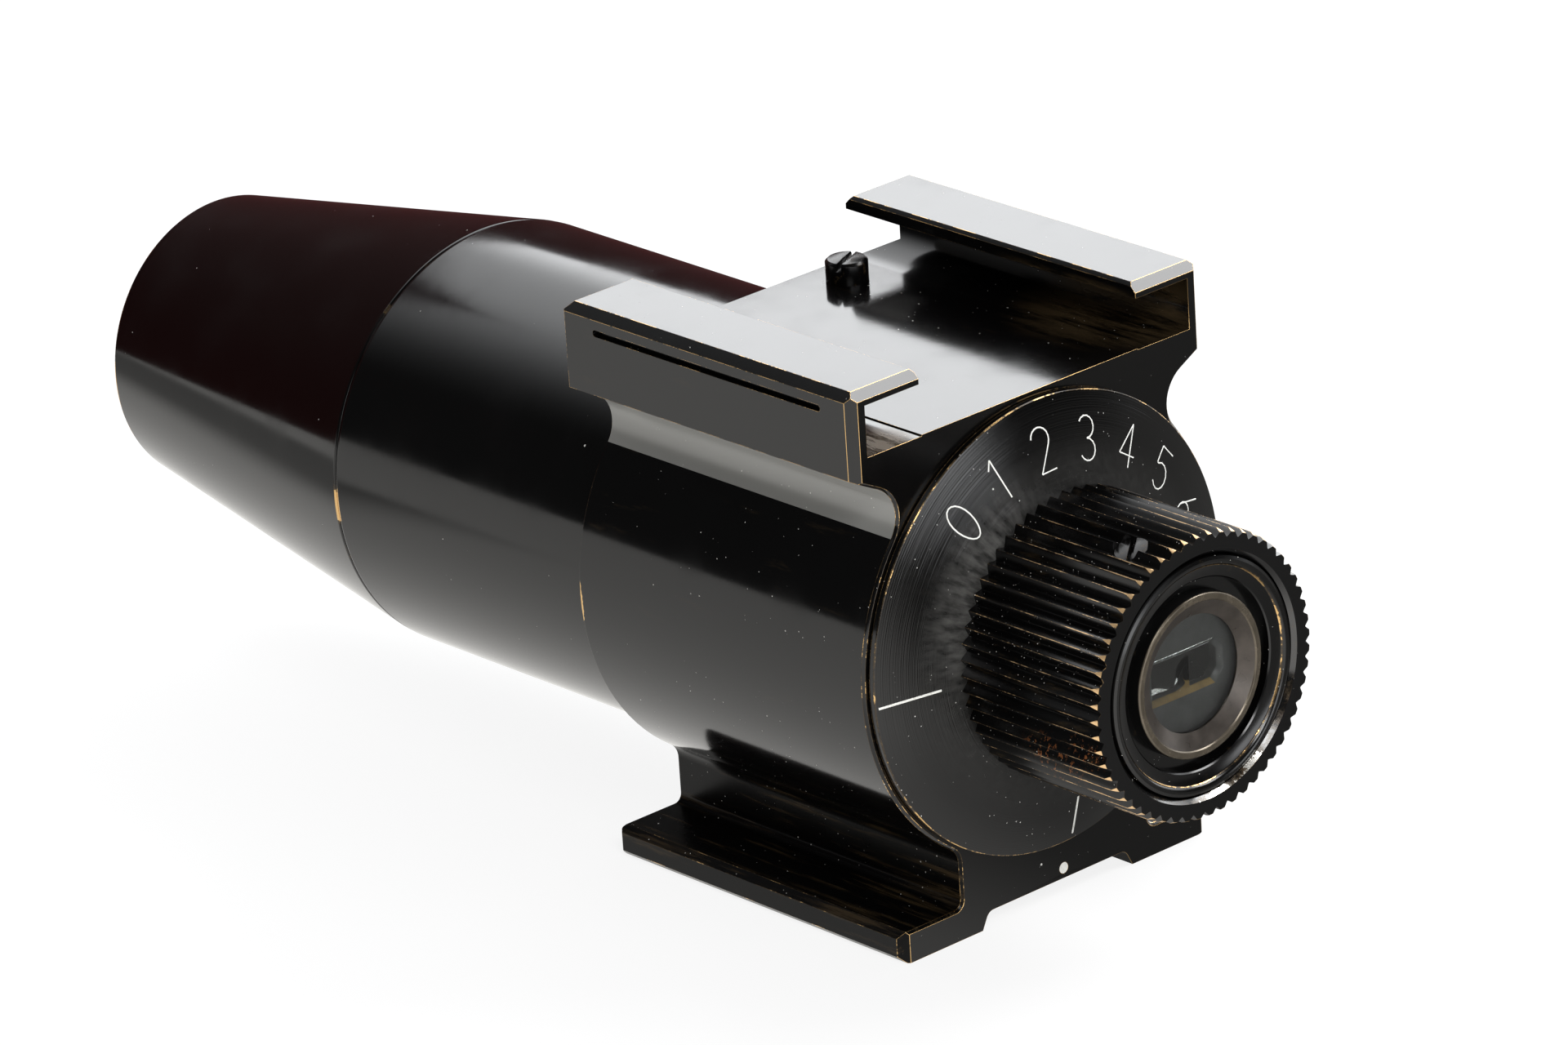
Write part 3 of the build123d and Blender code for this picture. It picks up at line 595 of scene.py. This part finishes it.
# ---------------------------------------------------------------- prism holder
holder_mesh = softened("prism_holder", 0.035, lambda middle: 0.0)
show("prism_holder_body", holder_mesh, "eyepiece", [dark_plate, dull_brass, bright_steel_and_highlight],
     ["prism_holder"], sharp=60)
WINDOW_ZONE = 1.4   # the window's bevels lie within this height of the axis
for face in holder_mesh.polygons:
    middle = face.center / MM
    in_front = middle.y < HOLDER_FRONT + 0.3 and abs(middle.z - AXIS_HEIGHT) < WINDOW_ZONE
    level = in_front and abs(face.normal.x) < 0.3 and abs(face.normal.y) < 0.95
    face.material_index = 0
    if level and face.normal.z > 0.4 and middle.z < AXIS_HEIGHT:
        face.material_index = 1
    # Faces round the window above the axis get bright steel: a painted highlight along its top edge
    elif level and middle.z > AXIS_HEIGHT:
        face.material_index = 2

# ---------------------------------------------------------------- mount block and screws
FOOT_EDGES = 2.0    # the foot's own edges lie under this height
FOOT_ZONE = 4.2     # the foot and its neck lie under this height
COVE_ZONE = (AXIS_HEIGHT + 6.42, AXIS_HEIGHT + 8.8)


def block_wear(middle):
    """Rails are rubbed most, at their eyepiece end and along the top; the foot less."""
    towards_eye = 1 - min(1.0, (middle.y - FACE_Y) / 2.0)
    if middle.z > RAIL_UNDERSIDE:
        return 1.02 + 0.5 * towards_eye
    if middle.z < FOOT_EDGES:
        return 0.82 + 0.44 * towards_eye
    return 0.72 + 0.2 * towards_eye


block_mesh = softened("mount_block", 0.05, block_wear)
block = show("block_body", block_mesh, "root", [block_lacquer, face_lacquer, foot_lacquer, cove_lacquer_painted_light],
             ["mount_block"], sharp=60)
for face in block_mesh.polygons:
    middle = face.center / MM
    if face.normal.y < -0.95:
        face.material_index = 1
    elif middle.z < FOOT_ZONE:
        face.material_index = 2
    elif COVE_ZONE[0] < middle.z < COVE_ZONE[1] and abs(face.normal.y) < 0.1:
        face.material_index = 3
weighted = block.modifiers.new("flat_sides", "WEIGHTED_NORMAL")
weighted.keep_sharp = True
weighted.weight = 90

screws = show("stop_screw_heads", softened("shoe_stop_screws", 0.05, lambda middle: 0.0), "root",
              [screw_lacquer], ["shoe_stop_screws"], sharp=60)
weighted = screws.modifiers.new("flat_sides", "WEIGHTED_NORMAL")
weighted.keep_sharp = True

# ---------------------------------------------------------------- barrel and hood
EDGE = 0.06         # rounding of the cap's edges
RIDGE = 0.14        # rounding where the barrel and the hood meet
RIDGE_RUBS = [(182, 5, 3.2), (128, 2, 1.5)]

show("barrel_body", lathe([
    (BARREL_START, BARREL_SPIGOT_BORE, 0, 0),
    (BLOCK_LENGTH, BARREL_SPIGOT_BORE, 0, 0),
    (BLOCK_LENGTH + BARREL_BORE_TAPER, BARREL_BORE, 0, 0),
    (HOOD_START - 0.3, BARREL_BORE, 0, 0),
    (HOOD_START, THREAD_RADIUS, 0, 0),
    (BARREL_END, THREAD_RADIUS, 0, 0),
    (BARREL_END, BARREL_RADIUS, RIDGE, 0.35),
    (BLOCK_LENGTH, BARREL_RADIUS, 0, 0),
    (BLOCK_LENGTH, THREAD_RADIUS, 0, 0),
    (BARREL_START, THREAD_RADIUS, 0, 0),
], rubs=RIDGE_RUBS), "root", [gloss_lacquer], ["barrel_tube"])

show("hood_body", lathe([
    (HOOD_START, HOOD_SPIGOT_BORE, 0, 0),
    (BARREL_END, HOOD_SPIGOT_BORE, 0, 0),
    (LENS_CELL_START, HOOD_WAIST_BORE, 0, 0),
    (LENS_CELL_START, LENS_CELL_BORE, 0, 0),
    (LENS_CELL_END, LENS_CELL_BORE, 0, 0),
    (LENS_CELL_END, HOOD_BORE, 0, 0),
    (HOOD_END - HOOD_BORE_BEVEL, HOOD_BORE, 0, 0),
    (HOOD_END, HOOD_BORE + HOOD_BORE_BEVEL, 0.05, 0.8),
    (HOOD_END, HOOD_MOUTH_RADIUS, 0.12, 0.9),
    (BARREL_END, BARREL_RADIUS, RIDGE, 0.35),
    (BARREL_END, THREAD_RADIUS, 0, 0),
    (HOOD_START, THREAD_RADIUS, 0, 0),
], rubs=RIDGE_RUBS), "root", [gloss_lacquer], ["objective_hood"])

# ---------------------------------------------------------------- index cap and its marks
show("cap_cone", lathe([
    (-CAP_GAP, CAP_RADIUS, EDGE, 1.0),
    (-CAP_RIM, CAP_RADIUS, EDGE, 0.85),
    (-CAP_FRONT, KNOB_RADIUS, 0, 0),
    (-CAP_FRONT, TUBE_RADIUS, 0, 0),
    (HUB_END, TUBE_RADIUS, 0, 0),
    (HUB_END, HUB_RADIUS, 0, 0),
    (-CAP_GAP, HUB_RADIUS, 0, 0),
], rubs=[(95, 25, 0.25), (215, 30, 0.2)]), "eyepiece", [cone_lacquer], ["index_cap"])

STROKE = 0.074      # radius of a painted stroke
SUNK = 0.06         # how far its centre lies under the cone's surface
CONE_SLOPE = (CAP_FRONT - CAP_RIM) / (CAP_RADIUS - KNOB_RADIUS)


def on_cone(angle, radius):
    """A stroke's centre, just under the cone's surface."""
    distance = -(CAP_RIM + (CAP_RADIUS - radius) * CONE_SLOPE)
    return place(distance + SUNK, radius - SUNK * CONE_SLOPE, angle)


def arc(x, y, width, height, start, end, steps=10):
    """Points along an ellipse's arc, in degrees."""
    turns = [math.radians(start + (end - start) * step / steps) for step in range(steps + 1)]
    return [(x + width * math.cos(turn), y + height * math.sin(turn)) for turn in turns]


# Each numeral is a list of strokes in a cell from -0.5 to 0.5 across and -0.8 to 0.8 high
NUMERALS = {
    "0": [arc(0, 0, 0.42, 0.8, 90, 450, 20)],
    "1": [[(-0.25, 0.5), (0, 0.8), (0, -0.8)]],
    "2": [arc(0, 0.38, 0.4, 0.42, 165, -35) + [(-0.42, -0.8), (0.42, -0.8)]],
    "3": [arc(0, 0.4, 0.36, 0.4, 150, -90), arc(0, -0.4, 0.42, 0.4, 90, -150)],
    "4": [[(0.18, -0.8), (0.18, 0.8), (-0.42, -0.35), (0.45, -0.35)]],
    "5": [[(0.36, 0.8), (-0.28, 0.8), (-0.34, 0.12)] + arc(0, -0.28, 0.42, 0.5, 130, -140)],
    "6": [[(0.2, 0.8)] + arc(0, -0.3, 0.42, 0.5, 160, 520, 20)],
    "7": [[(-0.4, 0.8), (0.4, 0.8), (-0.12, -0.8)]],
    "8": [arc(0, 0.42, 0.33, 0.38, 90, 450, 16), arc(0, -0.38, 0.42, 0.42, 90, 450, 16)],
    "9": [[(-0.2, -0.8)] + arc(0, 0.3, 0.42, 0.5, -20, 340, 20)],
}
NUMERAL_RADIUS = 8.25
NUMERAL_SIZE = 1.15
SCALE_START = 129.0
SCALE_STEP = 18.0


def smooth_runs(points):
    """Cut a line of points at its sharp corners, so that a stroke keeps its width there."""
    runs = [[points[0]]]
    for before, here, after in zip(points, points[1:], points[2:]):
        runs[-1].append(here)
        if (here - before).angle(after - here) > math.radians(35):
            runs.append([here])
    runs[-1].append(points[-1])
    return runs


def strokes_object(name, strokes, radius, body, material):
    """Round strokes along lists of points, as one curve object."""
    curve = bpy.data.curves.new(name, "CURVE")
    curve.dimensions = "3D"
    curve.bevel_depth = radius * MM
    curve.bevel_resolution = 3
    curve.use_fill_caps = True
    for points in strokes:
        for run in smooth_runs(points):
            spline = curve.splines.new("POLY")
            spline.points.add(len(run) - 1)
            for slot_point, point in zip(spline.points, run):
                slot_point.co = (*point, 1.0)
    curve.materials.append(material)
    piece = bpy.data.objects.new(name, curve)
    bpy.context.scene.collection.objects.link(piece)
    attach(piece, body)
    return piece


scale_strokes = []
for count, numeral in enumerate("0123456789"):
    middle = SCALE_START - count * SCALE_STEP
    for stroke in NUMERALS[numeral]:
        points = []
        for across, up in stroke:
            sweep = math.degrees(across * NUMERAL_SIZE / NUMERAL_RADIUS)
            points.append(on_cone(middle - sweep, NUMERAL_RADIUS + up * NUMERAL_SIZE))
        scale_strokes.append(points)
strokes_object("turn_scale", scale_strokes, STROKE, "eyepiece", white_paint)

index_strokes = [
    [on_cone(-86.6, 8.0), on_cone(-86.6, 9.95)],
    [on_cone(183.4, 7.3), on_cone(183.4, 10.1)],
]
index_piece = strokes_object("index_marks", index_strokes, STROKE * 1.15, "eyepiece", white_paint)
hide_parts("index_lines")

# Painted highlights: thin bright lines along the top edges of the window in the prism holder's plate, seen
# through the eye lens
WINDOW_ENDS = (-1.87, 1.5)
WINDOW_EDGES = [(0.0, 1.02), (0.2, 0.8)]    # depth behind the plate's face, height over the axis
HIGHLIGHT_LINE = 0.022
window_highlights = [
    [Vector((end, HOLDER_FRONT + depth, AXIS_HEIGHT + height)) * MM for end in WINDOW_ENDS]
    for depth, height in WINDOW_EDGES
]
strokes_object("window_edge_highlight", window_highlights, HIGHLIGHT_LINE, "eyepiece", bright_steel_and_highlight)

# ---------------------------------------------------------------- knurled knob
FLUTE_SAMPLES = 16
CREST_ROUNDING = 0.11
ROOT_ROUNDING = 0.22
BORE_RADIUS = FLANGE_RADIUS + 0.05


def ramp(share, rounding):
    """From 0 to 1, straight except for a rounded start."""
    full = math.sqrt(1 + rounding**2) - rounding
    return (math.sqrt(share**2 + rounding**2) - rounding) / full


def flute_radius(share):
    """The knob's radius at a share of a flute's pitch, from 0 to 1; its root is at a half."""
    from_root = abs(2 * share - 1)
    rise = ramp(from_root, ROOT_ROUNDING) - ramp(1 - from_root, CREST_ROUNDING) + 1
    return KNOB_RADIUS - FLUTE_DEPTH * (1 - rise / 2)


def knob_mesh():
    """Fluted outside, bevelled front edge, flat front and a stepped bore."""
    columns = FLUTES * FLUTE_SAMPLES
    corners = []
    wear = []
    inner = KNOB_RADIUS - KNOB_BEVEL
    for column in range(columns):
        angle = 360 * column / columns
        radius = flute_radius(column % FLUTE_SAMPLES / FLUTE_SAMPLES)
        crest = max(0.0, 1 - (KNOB_RADIUS - radius) / 0.05)
        front = min(radius, inner)
        cut = max(0.0, (radius - inner) / KNOB_BEVEL)
        bevel_start = KNOB_FRONT - KNOB_BEVEL_LENGTH * cut
        left_side = 0.5 - 0.5 * math.cos(math.radians(angle - 10))
        rim = (1.16 + 0.24 * left_side) * (1.0 if cut > 0 else 0.5)
        # Painted highlight: the bore bevel's wear is raised towards the lower right
        lower_right_highlight = max(0.0, math.cos(math.radians(angle + 72))) ** 2
        rings = [
            (CAP_FRONT, radius, crest * 0.85),
            (CAP_FRONT + (bevel_start - CAP_FRONT) * 0.5, radius, crest * 0.98),
            (bevel_start - 0.35, radius, crest * 1.15),
            (bevel_start - 0.04, radius, max(crest * 1.2, 0.35)),
            (bevel_start, radius, rim + 0.1),
            (KNOB_FRONT, front, rim),
            (KNOB_FRONT, front - 0.03, 0.0),
            (KNOB_FRONT, BORE_RADIUS + KNOB_BORE_BEVEL + 0.02, 0.0),
            (KNOB_FRONT, BORE_RADIUS + KNOB_BORE_BEVEL, 0.3 + 0.8 * lower_right_highlight),
            (KNOB_FRONT - KNOB_BORE_BEVEL, BORE_RADIUS, 0.2 + 0.7 * lower_right_highlight),
            (FLANGE_BACK, BORE_RADIUS, 0.0),
            (FLANGE_BACK, TUBE_RADIUS, 0.0),
            (CAP_FRONT, TUBE_RADIUS, 0.0),
        ]
        for distance, ring_radius, worn in rings:
            corners.append(place(-distance, ring_radius, angle))
            wear.append(worn)
    count = len(rings)
    faces = []
    for column in range(columns):
        here = column * count
        there = (column + 1) % columns * count
        for index in range(count):
            after = (index + 1) % count
            faces.append((here + index, here + after, there + after, there + index))
    mesh = bpy.data.meshes.new("knob")
    mesh.from_pydata(corners, [], faces)
    mesh.attributes.new("wear", "FLOAT", "POINT").data.foreach_set("value", wear)
    work = bmesh.new()
    work.from_mesh(mesh)
    bmesh.ops.remove_doubles(work, verts=work.verts, dist=0.0005 * MM)
    bmesh.ops.recalc_face_normals(work, faces=work.faces)
    work.to_mesh(mesh)
    work.free()
    return mesh


HOLE_SIDES = 32


def drilled(mesh, angle, distance, radius):
    """The knob with a hole drilled in from its outside, down to its bore."""
    turn = math.radians(angle)
    outward = Vector((math.cos(turn), 0, math.sin(turn)))
    along = Vector((0, 1, 0))
    across = outward.cross(along)
    rim = []
    for height in (TUBE_RADIUS - 0.3, KNOB_RADIUS + 0.5):
        for step in range(HOLE_SIDES):
            around = math.radians(360 * step / HOLE_SIDES)
            middle = place(distance, height, angle)
            rim.append(middle + (along * math.cos(around) + across * math.sin(around)) * radius * MM)
    faces = []
    for step in range(HOLE_SIDES):
        after = (step + 1) % HOLE_SIDES
        faces.append((step, after, HOLE_SIDES + after, HOLE_SIDES + step))
    faces += [tuple(range(HOLE_SIDES)), tuple(range(2 * HOLE_SIDES - 1, HOLE_SIDES - 1, -1))]
    drill_mesh = bpy.data.meshes.new("drill")
    drill_mesh.from_pydata(rim, [], faces)
    fix_normals(drill_mesh)
    solid = bpy.data.objects.new("undrilled", mesh)
    drill = bpy.data.objects.new("drill", drill_mesh)
    for thing in (solid, drill):
        bpy.context.scene.collection.objects.link(thing)
    cut = solid.modifiers.new("hole", "BOOLEAN")
    cut.operation = "DIFFERENCE"
    cut.solver = "EXACT"
    cut.object = drill
    graph = bpy.context.evaluated_depsgraph_get()
    result = bpy.data.meshes.new_from_object(solid.evaluated_get(graph))
    for thing in (solid, drill):
        bpy.data.objects.remove(thing)
    return result


knob = drilled(knob_mesh(), SET_SCREW_ANGLE, -SET_SCREW_FRONT, SET_SCREW_RADIUS + 0.03)
knob.materials.clear()
show("knob_body", knob, "eyepiece", [knob_lacquer, matt_lacquer, bore_bevel_wear_and_highlight], ["knurled_knob"],
     sharp=40)
for face in knob.polygons:
    middle = face.center / MM
    radius = math.hypot(middle.x, middle.z - AXIS_HEIGHT)
    if face.normal.y < -0.95:
        face.material_index = 1
    else:
        face.material_index = 2 if radius < BORE_RADIUS + KNOB_BORE_BEVEL else 0

screw = show("set_screw_body", softened("knob_set_screw", 0.04, lambda middle: 0.0), "eyepiece",
             [screw_lacquer], ["knob_set_screw"], sharp=60)
weighted = screw.modifiers.new("flat_sides", "WEIGHTED_NORMAL")
weighted.keep_sharp = True

# ---------------------------------------------------------------- eyepiece tube and eye cell
bead = [
    (-FLANGE_FRONT + 0.22, FLANGE_RADIUS, 0, 0),
    (-FLANGE_FRONT + 0.06, FLANGE_RADIUS - 0.07, 0, 0),
    (-FLANGE_FRONT, FLANGE_RADIUS - 0.2, 0, 0),
    (-FLANGE_FRONT + 0.02, FLANGE_RADIUS - 0.33, 0, 0),
    (-FLANGE_FRONT + 0.08, FLANGE_RADIUS - 0.43, 0, 0.5),
    (-FLANGE_FRONT + 0.15, FLANGE_RADIUS - 0.47, 0, 1.0),
]
show("eyepiece_tube_body", lathe(bead + [
    (-9.42, 4.8, 0, 1.0),
    (-9.40, 4.77, 0, 0),
    (-9.3, 4.31, 0, 0),
    (-9.24, GROOVE_RADIUS, 0, 0),
    (-GROOVE_FLOOR, GROOVE_RADIUS, 0, 0),
    (-GROOVE_FLOOR, EYE_CELL_RADIUS, 0, 0),
    (-CHAMBER_FRONT, EYE_CELL_RADIUS, 0, 0),
    (-CHAMBER_FRONT, CHAMBER_RADIUS, 0, 0),
    (TUBE_END, CHAMBER_RADIUS, 0, 0),
    (TUBE_END, TUBE_RADIUS, 0, 0),
    (-FLANGE_BACK, TUBE_RADIUS, 0, 0),
    (-FLANGE_BACK, FLANGE_RADIUS, 0, 0),
]), "eyepiece", [bead_lacquer], ["eyepiece_tube"])

cell_mesh = lathe([
    (-EYE_CELL_FRONT, EYE_CELL_RADIUS, 0.14, 0),
    (-EYE_CELL_BACK, EYE_CELL_RADIUS, 0, 0),
    (-EYE_CELL_BACK, EYE_LENS_RADIUS, 0, 0),
    (-EYE_LENS_FRONT, EYE_LENS_RADIUS, 0, 0),
    (-EYE_LENS_FRONT, EYE_APERTURE, 0, 0),
    (-EYE_LENS_FRONT - 0.06, EYE_APERTURE, 0, 0),
    (-EYE_CELL_FRONT + 0.06, 3.28, 0.02, 0),
    (-EYE_CELL_FRONT, 3.34, 0.05, 0),
])
show("eye_cell_ring", cell_mesh, "eyepiece", [dark_cell, ring_face, matt_lacquer], ["eye_lens_cell"])
for face in cell_mesh.polygons:
    middle = face.center / MM
    radius = math.hypot(middle.x, middle.z - AXIS_HEIGHT)
    if abs(face.normal.y) < 0.3 and radius > EYE_CELL_RADIUS - 0.1:
        face.material_index = 2
    elif face.normal.y < -0.3 and radius > 3.27:
        face.material_index = 1


# ---------------------------------------------------------------- floor, light and camera
# The floor's glow as the lacquer mirrors it, and patches of painted shade (negative strength) and painted
# light (positive strength) that change its reflections: each has the fades that bound it, as (axis, low,
# high) in millimetres, and its strength
FLOOR_GLOW = 1.12
FLOOR_SHADE_AND_LIGHT = [
    ([(0, -9, 5), (1, 8, -8)], -0.82),
    ([(0, 6, -6), (1, -16, -34)], 0.5),
    ([(0, -14, -24), (0, -46, -38), (1, 42, 60)], -0.7),
]


def make_floor():
    """A pale floor under the finder, glowing evenly where the camera sees it; the lacquer mirrors a glow with
    painted shade and painted light in it.
    """
    mesh = bpy.data.meshes.new("floor")
    reach = 3.0
    mesh.from_pydata([(-reach, -reach, 0), (reach, -reach, 0), (reach, reach, 0), (-reach, reach, 0)],
                     [], [(0, 1, 2, 3)])
    material, tree, shader = start_material("floor_paper")
    parts = node(tree, "SeparateXYZ", {0: position(tree)})
    glow = FLOOR_GLOW
    # Painted shade darkens the mirrored glow to the front right and far back left; painted light brightens it
    # to the front left
    for bounds, strength in FLOOR_SHADE_AND_LIGHT:
        fades = [fade(tree, parts.outputs[axis], low, high) for axis, low, high in bounds]
        glow = calc(tree, "ADD", glow, product(tree, strength, *fades))
    mirrored_glow = node(tree, "Emission", {"Color": (1.0, 0.985, 0.95, 1), "Strength": glow})
    join(tree, shader, Base_Color=(0.16, 0.16, 0.16, 1), Roughness=0.9, Specular_IOR_Level=0.0,
         Emission_Color=(1, 1, 1, 1), Emission_Strength=0.86)
    seen = node(tree, "LightPath").outputs["Is Camera Ray"]
    mixed = node(tree, "MixShader", {0: seen, 1: mirrored_glow.outputs[0], 2: shader.outputs[0]})
    tree.links.new(mixed.outputs[0], tree.nodes["Material Output"].inputs[0])
    mesh.materials.append(material)
    floor = bpy.data.objects.new("floor", mesh)
    bpy.context.scene.collection.objects.link(floor)


FLAG_TOP = [(260, 110), (90, 98), (56, 68), (36, 47.8), (0, 45)]    # (distance from its right end, height)


def make_flag():
    """A dark card behind the finder, higher on the left: a painted dark reflection with a faint red glow. It
    is only mirrored in the lacquer.
    """
    right_end = Vector((64, 46.5, 0))
    leftward = Vector((-0.79, 0.61, 0))
    corners = [right_end, right_end + leftward * FLAG_TOP[0][0]]
    for along, height in FLAG_TOP:
        corners.append(right_end + leftward * along + Vector((0, 0, height)))
    mesh = bpy.data.meshes.new("flag")
    mesh.from_pydata([corner * MM for corner in corners], [], [tuple(range(len(corners)))])
    material, tree, shader = start_material("flag_card")
    join(tree, shader, Base_Color=(0, 0, 0, 1), Roughness=1.0, Specular_IOR_Level=0.0,
         Emission_Color=(0.07, 0.018, 0.018, 1), Emission_Strength=1.0)
    mesh.materials.append(material)
    flag = bpy.data.objects.new("flag", mesh)
    flag.visible_camera = False
    flag.visible_diffuse = False
    flag.visible_shadow = False
    bpy.context.scene.collection.objects.link(flag)


TARGET = place(BLOCK_LENGTH / 2, 0, 0)


def softbox(name, azimuth, elevation, distance, width, height, radiance):
    """An area light aimed at the block; azimuth 0 stands towards +Y and 90 towards +X."""
    light = bpy.data.lights.new(name, "AREA")
    light.shape = "RECTANGLE"
    light.size = width
    light.size_y = height
    light.energy = radiance * math.pi * width * height
    around = math.radians(azimuth)
    up = math.radians(elevation)
    away = Vector((math.sin(around) * math.cos(up), math.cos(around) * math.cos(up), math.sin(up)))
    lamp = bpy.data.objects.new(name, light)
    lamp.location = TARGET + away * distance
    lamp.rotation_euler = away.to_track_quat("Z", "Y").to_euler()
    lamp.visible_camera = False
    bpy.context.scene.collection.objects.link(lamp)


# How bright the parts of the room are
ROOM_LEVEL = 0.05
WALL_LEVEL = 2.7
WALL_FOOT_LEVEL = 2.1   # added to the wall's lower part
WINDOW_LEVEL = 4.6


def make_world():
    """A dark room with a bright wall behind and a window in front; pale where it is seen.

    The fades are in degrees of azimuth, from +Y towards +X, and of height over the horizon.
    """
    world = bpy.data.worlds.new("studio")
    world.use_nodes = True
    tree = world.node_tree
    tree.nodes.clear()
    towards = node(tree, "SeparateXYZ", {0: node(tree, "TexCoord").outputs["Generated"]})
    azimuth = calc(tree, "ARCTAN2", towards.outputs[0], towards.outputs[1])
    azimuth = calc(tree, "DEGREES", azimuth)
    height = calc(tree, "DEGREES", calc(tree, "ARCSINE", towards.outputs[2]))
    level = calc(tree, "ADD", WALL_LEVEL, product(tree, WALL_FOOT_LEVEL, fade(tree, height, 36, 24)))
    wall = product(tree, level, fade(tree, height, -2, 3), fade(tree, height, 72, 56),
                   fade(tree, azimuth, -36, 14), fade(tree, azimuth, 125, 85))
    off_ahead = calc(tree, "ABSOLUTE", azimuth)
    window = product(tree, WINDOW_LEVEL, fade(tree, off_ahead, 148, 156), fade(tree, height, 15, 7))
    bright = calc(tree, "ADD", calc(tree, "ADD", wall, window), ROOM_LEVEL)
    room = node(tree, "Background", {"Color": (0.97, 0.985, 1.0, 1), "Strength": bright})
    pale = node(tree, "Background", {"Color": (0.95, 0.95, 0.95, 1), "Strength": 1.0})
    seen = node(tree, "LightPath").outputs["Is Camera Ray"]
    mixed = node(tree, "MixShader", {0: seen, 1: room.outputs[0], 2: pale.outputs[0]})
    output = node(tree, "OutputWorld")
    tree.links.new(mixed.outputs[0], output.inputs[0])
    bpy.context.scene.world = world


def make_camera():
    """The camera stands to the left of the eyepiece, above it, and is rolled a little."""
    azimuth = math.radians(-41.393)
    elevation = math.radians(21.903)
    roll = math.radians(-3.739)
    distance = 0.406
    back = Vector((
        math.sin(azimuth) * math.cos(elevation),
        -math.cos(azimuth) * math.cos(elevation),
        math.sin(elevation),
    ))
    level_right = (-back).cross(Vector((0, 0, 1))).normalized()
    level_up = level_right.cross(-back)
    right = level_right * math.cos(roll) + level_up * math.sin(roll)
    up = level_up * math.cos(roll) - level_right * math.sin(roll)
    aim = Vector((0, 6.15, AXIS_HEIGHT)) * MM + right * (-0.755 * MM) + up * (0.614 * MM)
    data = bpy.data.cameras.new("camera")
    data.sensor_width = 36
    data.lens = 213.6
    data.clip_start = 0.01
    data.clip_end = 50
    camera = bpy.data.objects.new("camera", data)
    turn = Matrix((right, up, back)).transposed()
    camera.matrix_world = Matrix.Translation(aim + back * distance) @ turn.to_4x4()
    bpy.context.scene.collection.objects.link(camera)
    bpy.context.scene.camera = camera


make_floor()
make_flag()
make_world()
make_camera()
softbox("key_box", 208, 40, 0.6, 0.26, 0.16, 12.0)
softbox("side_box", 120, 43, 0.6, 0.26, 0.2, 12.0)
bpy.context.scene.view_settings.view_transform = "Standard"
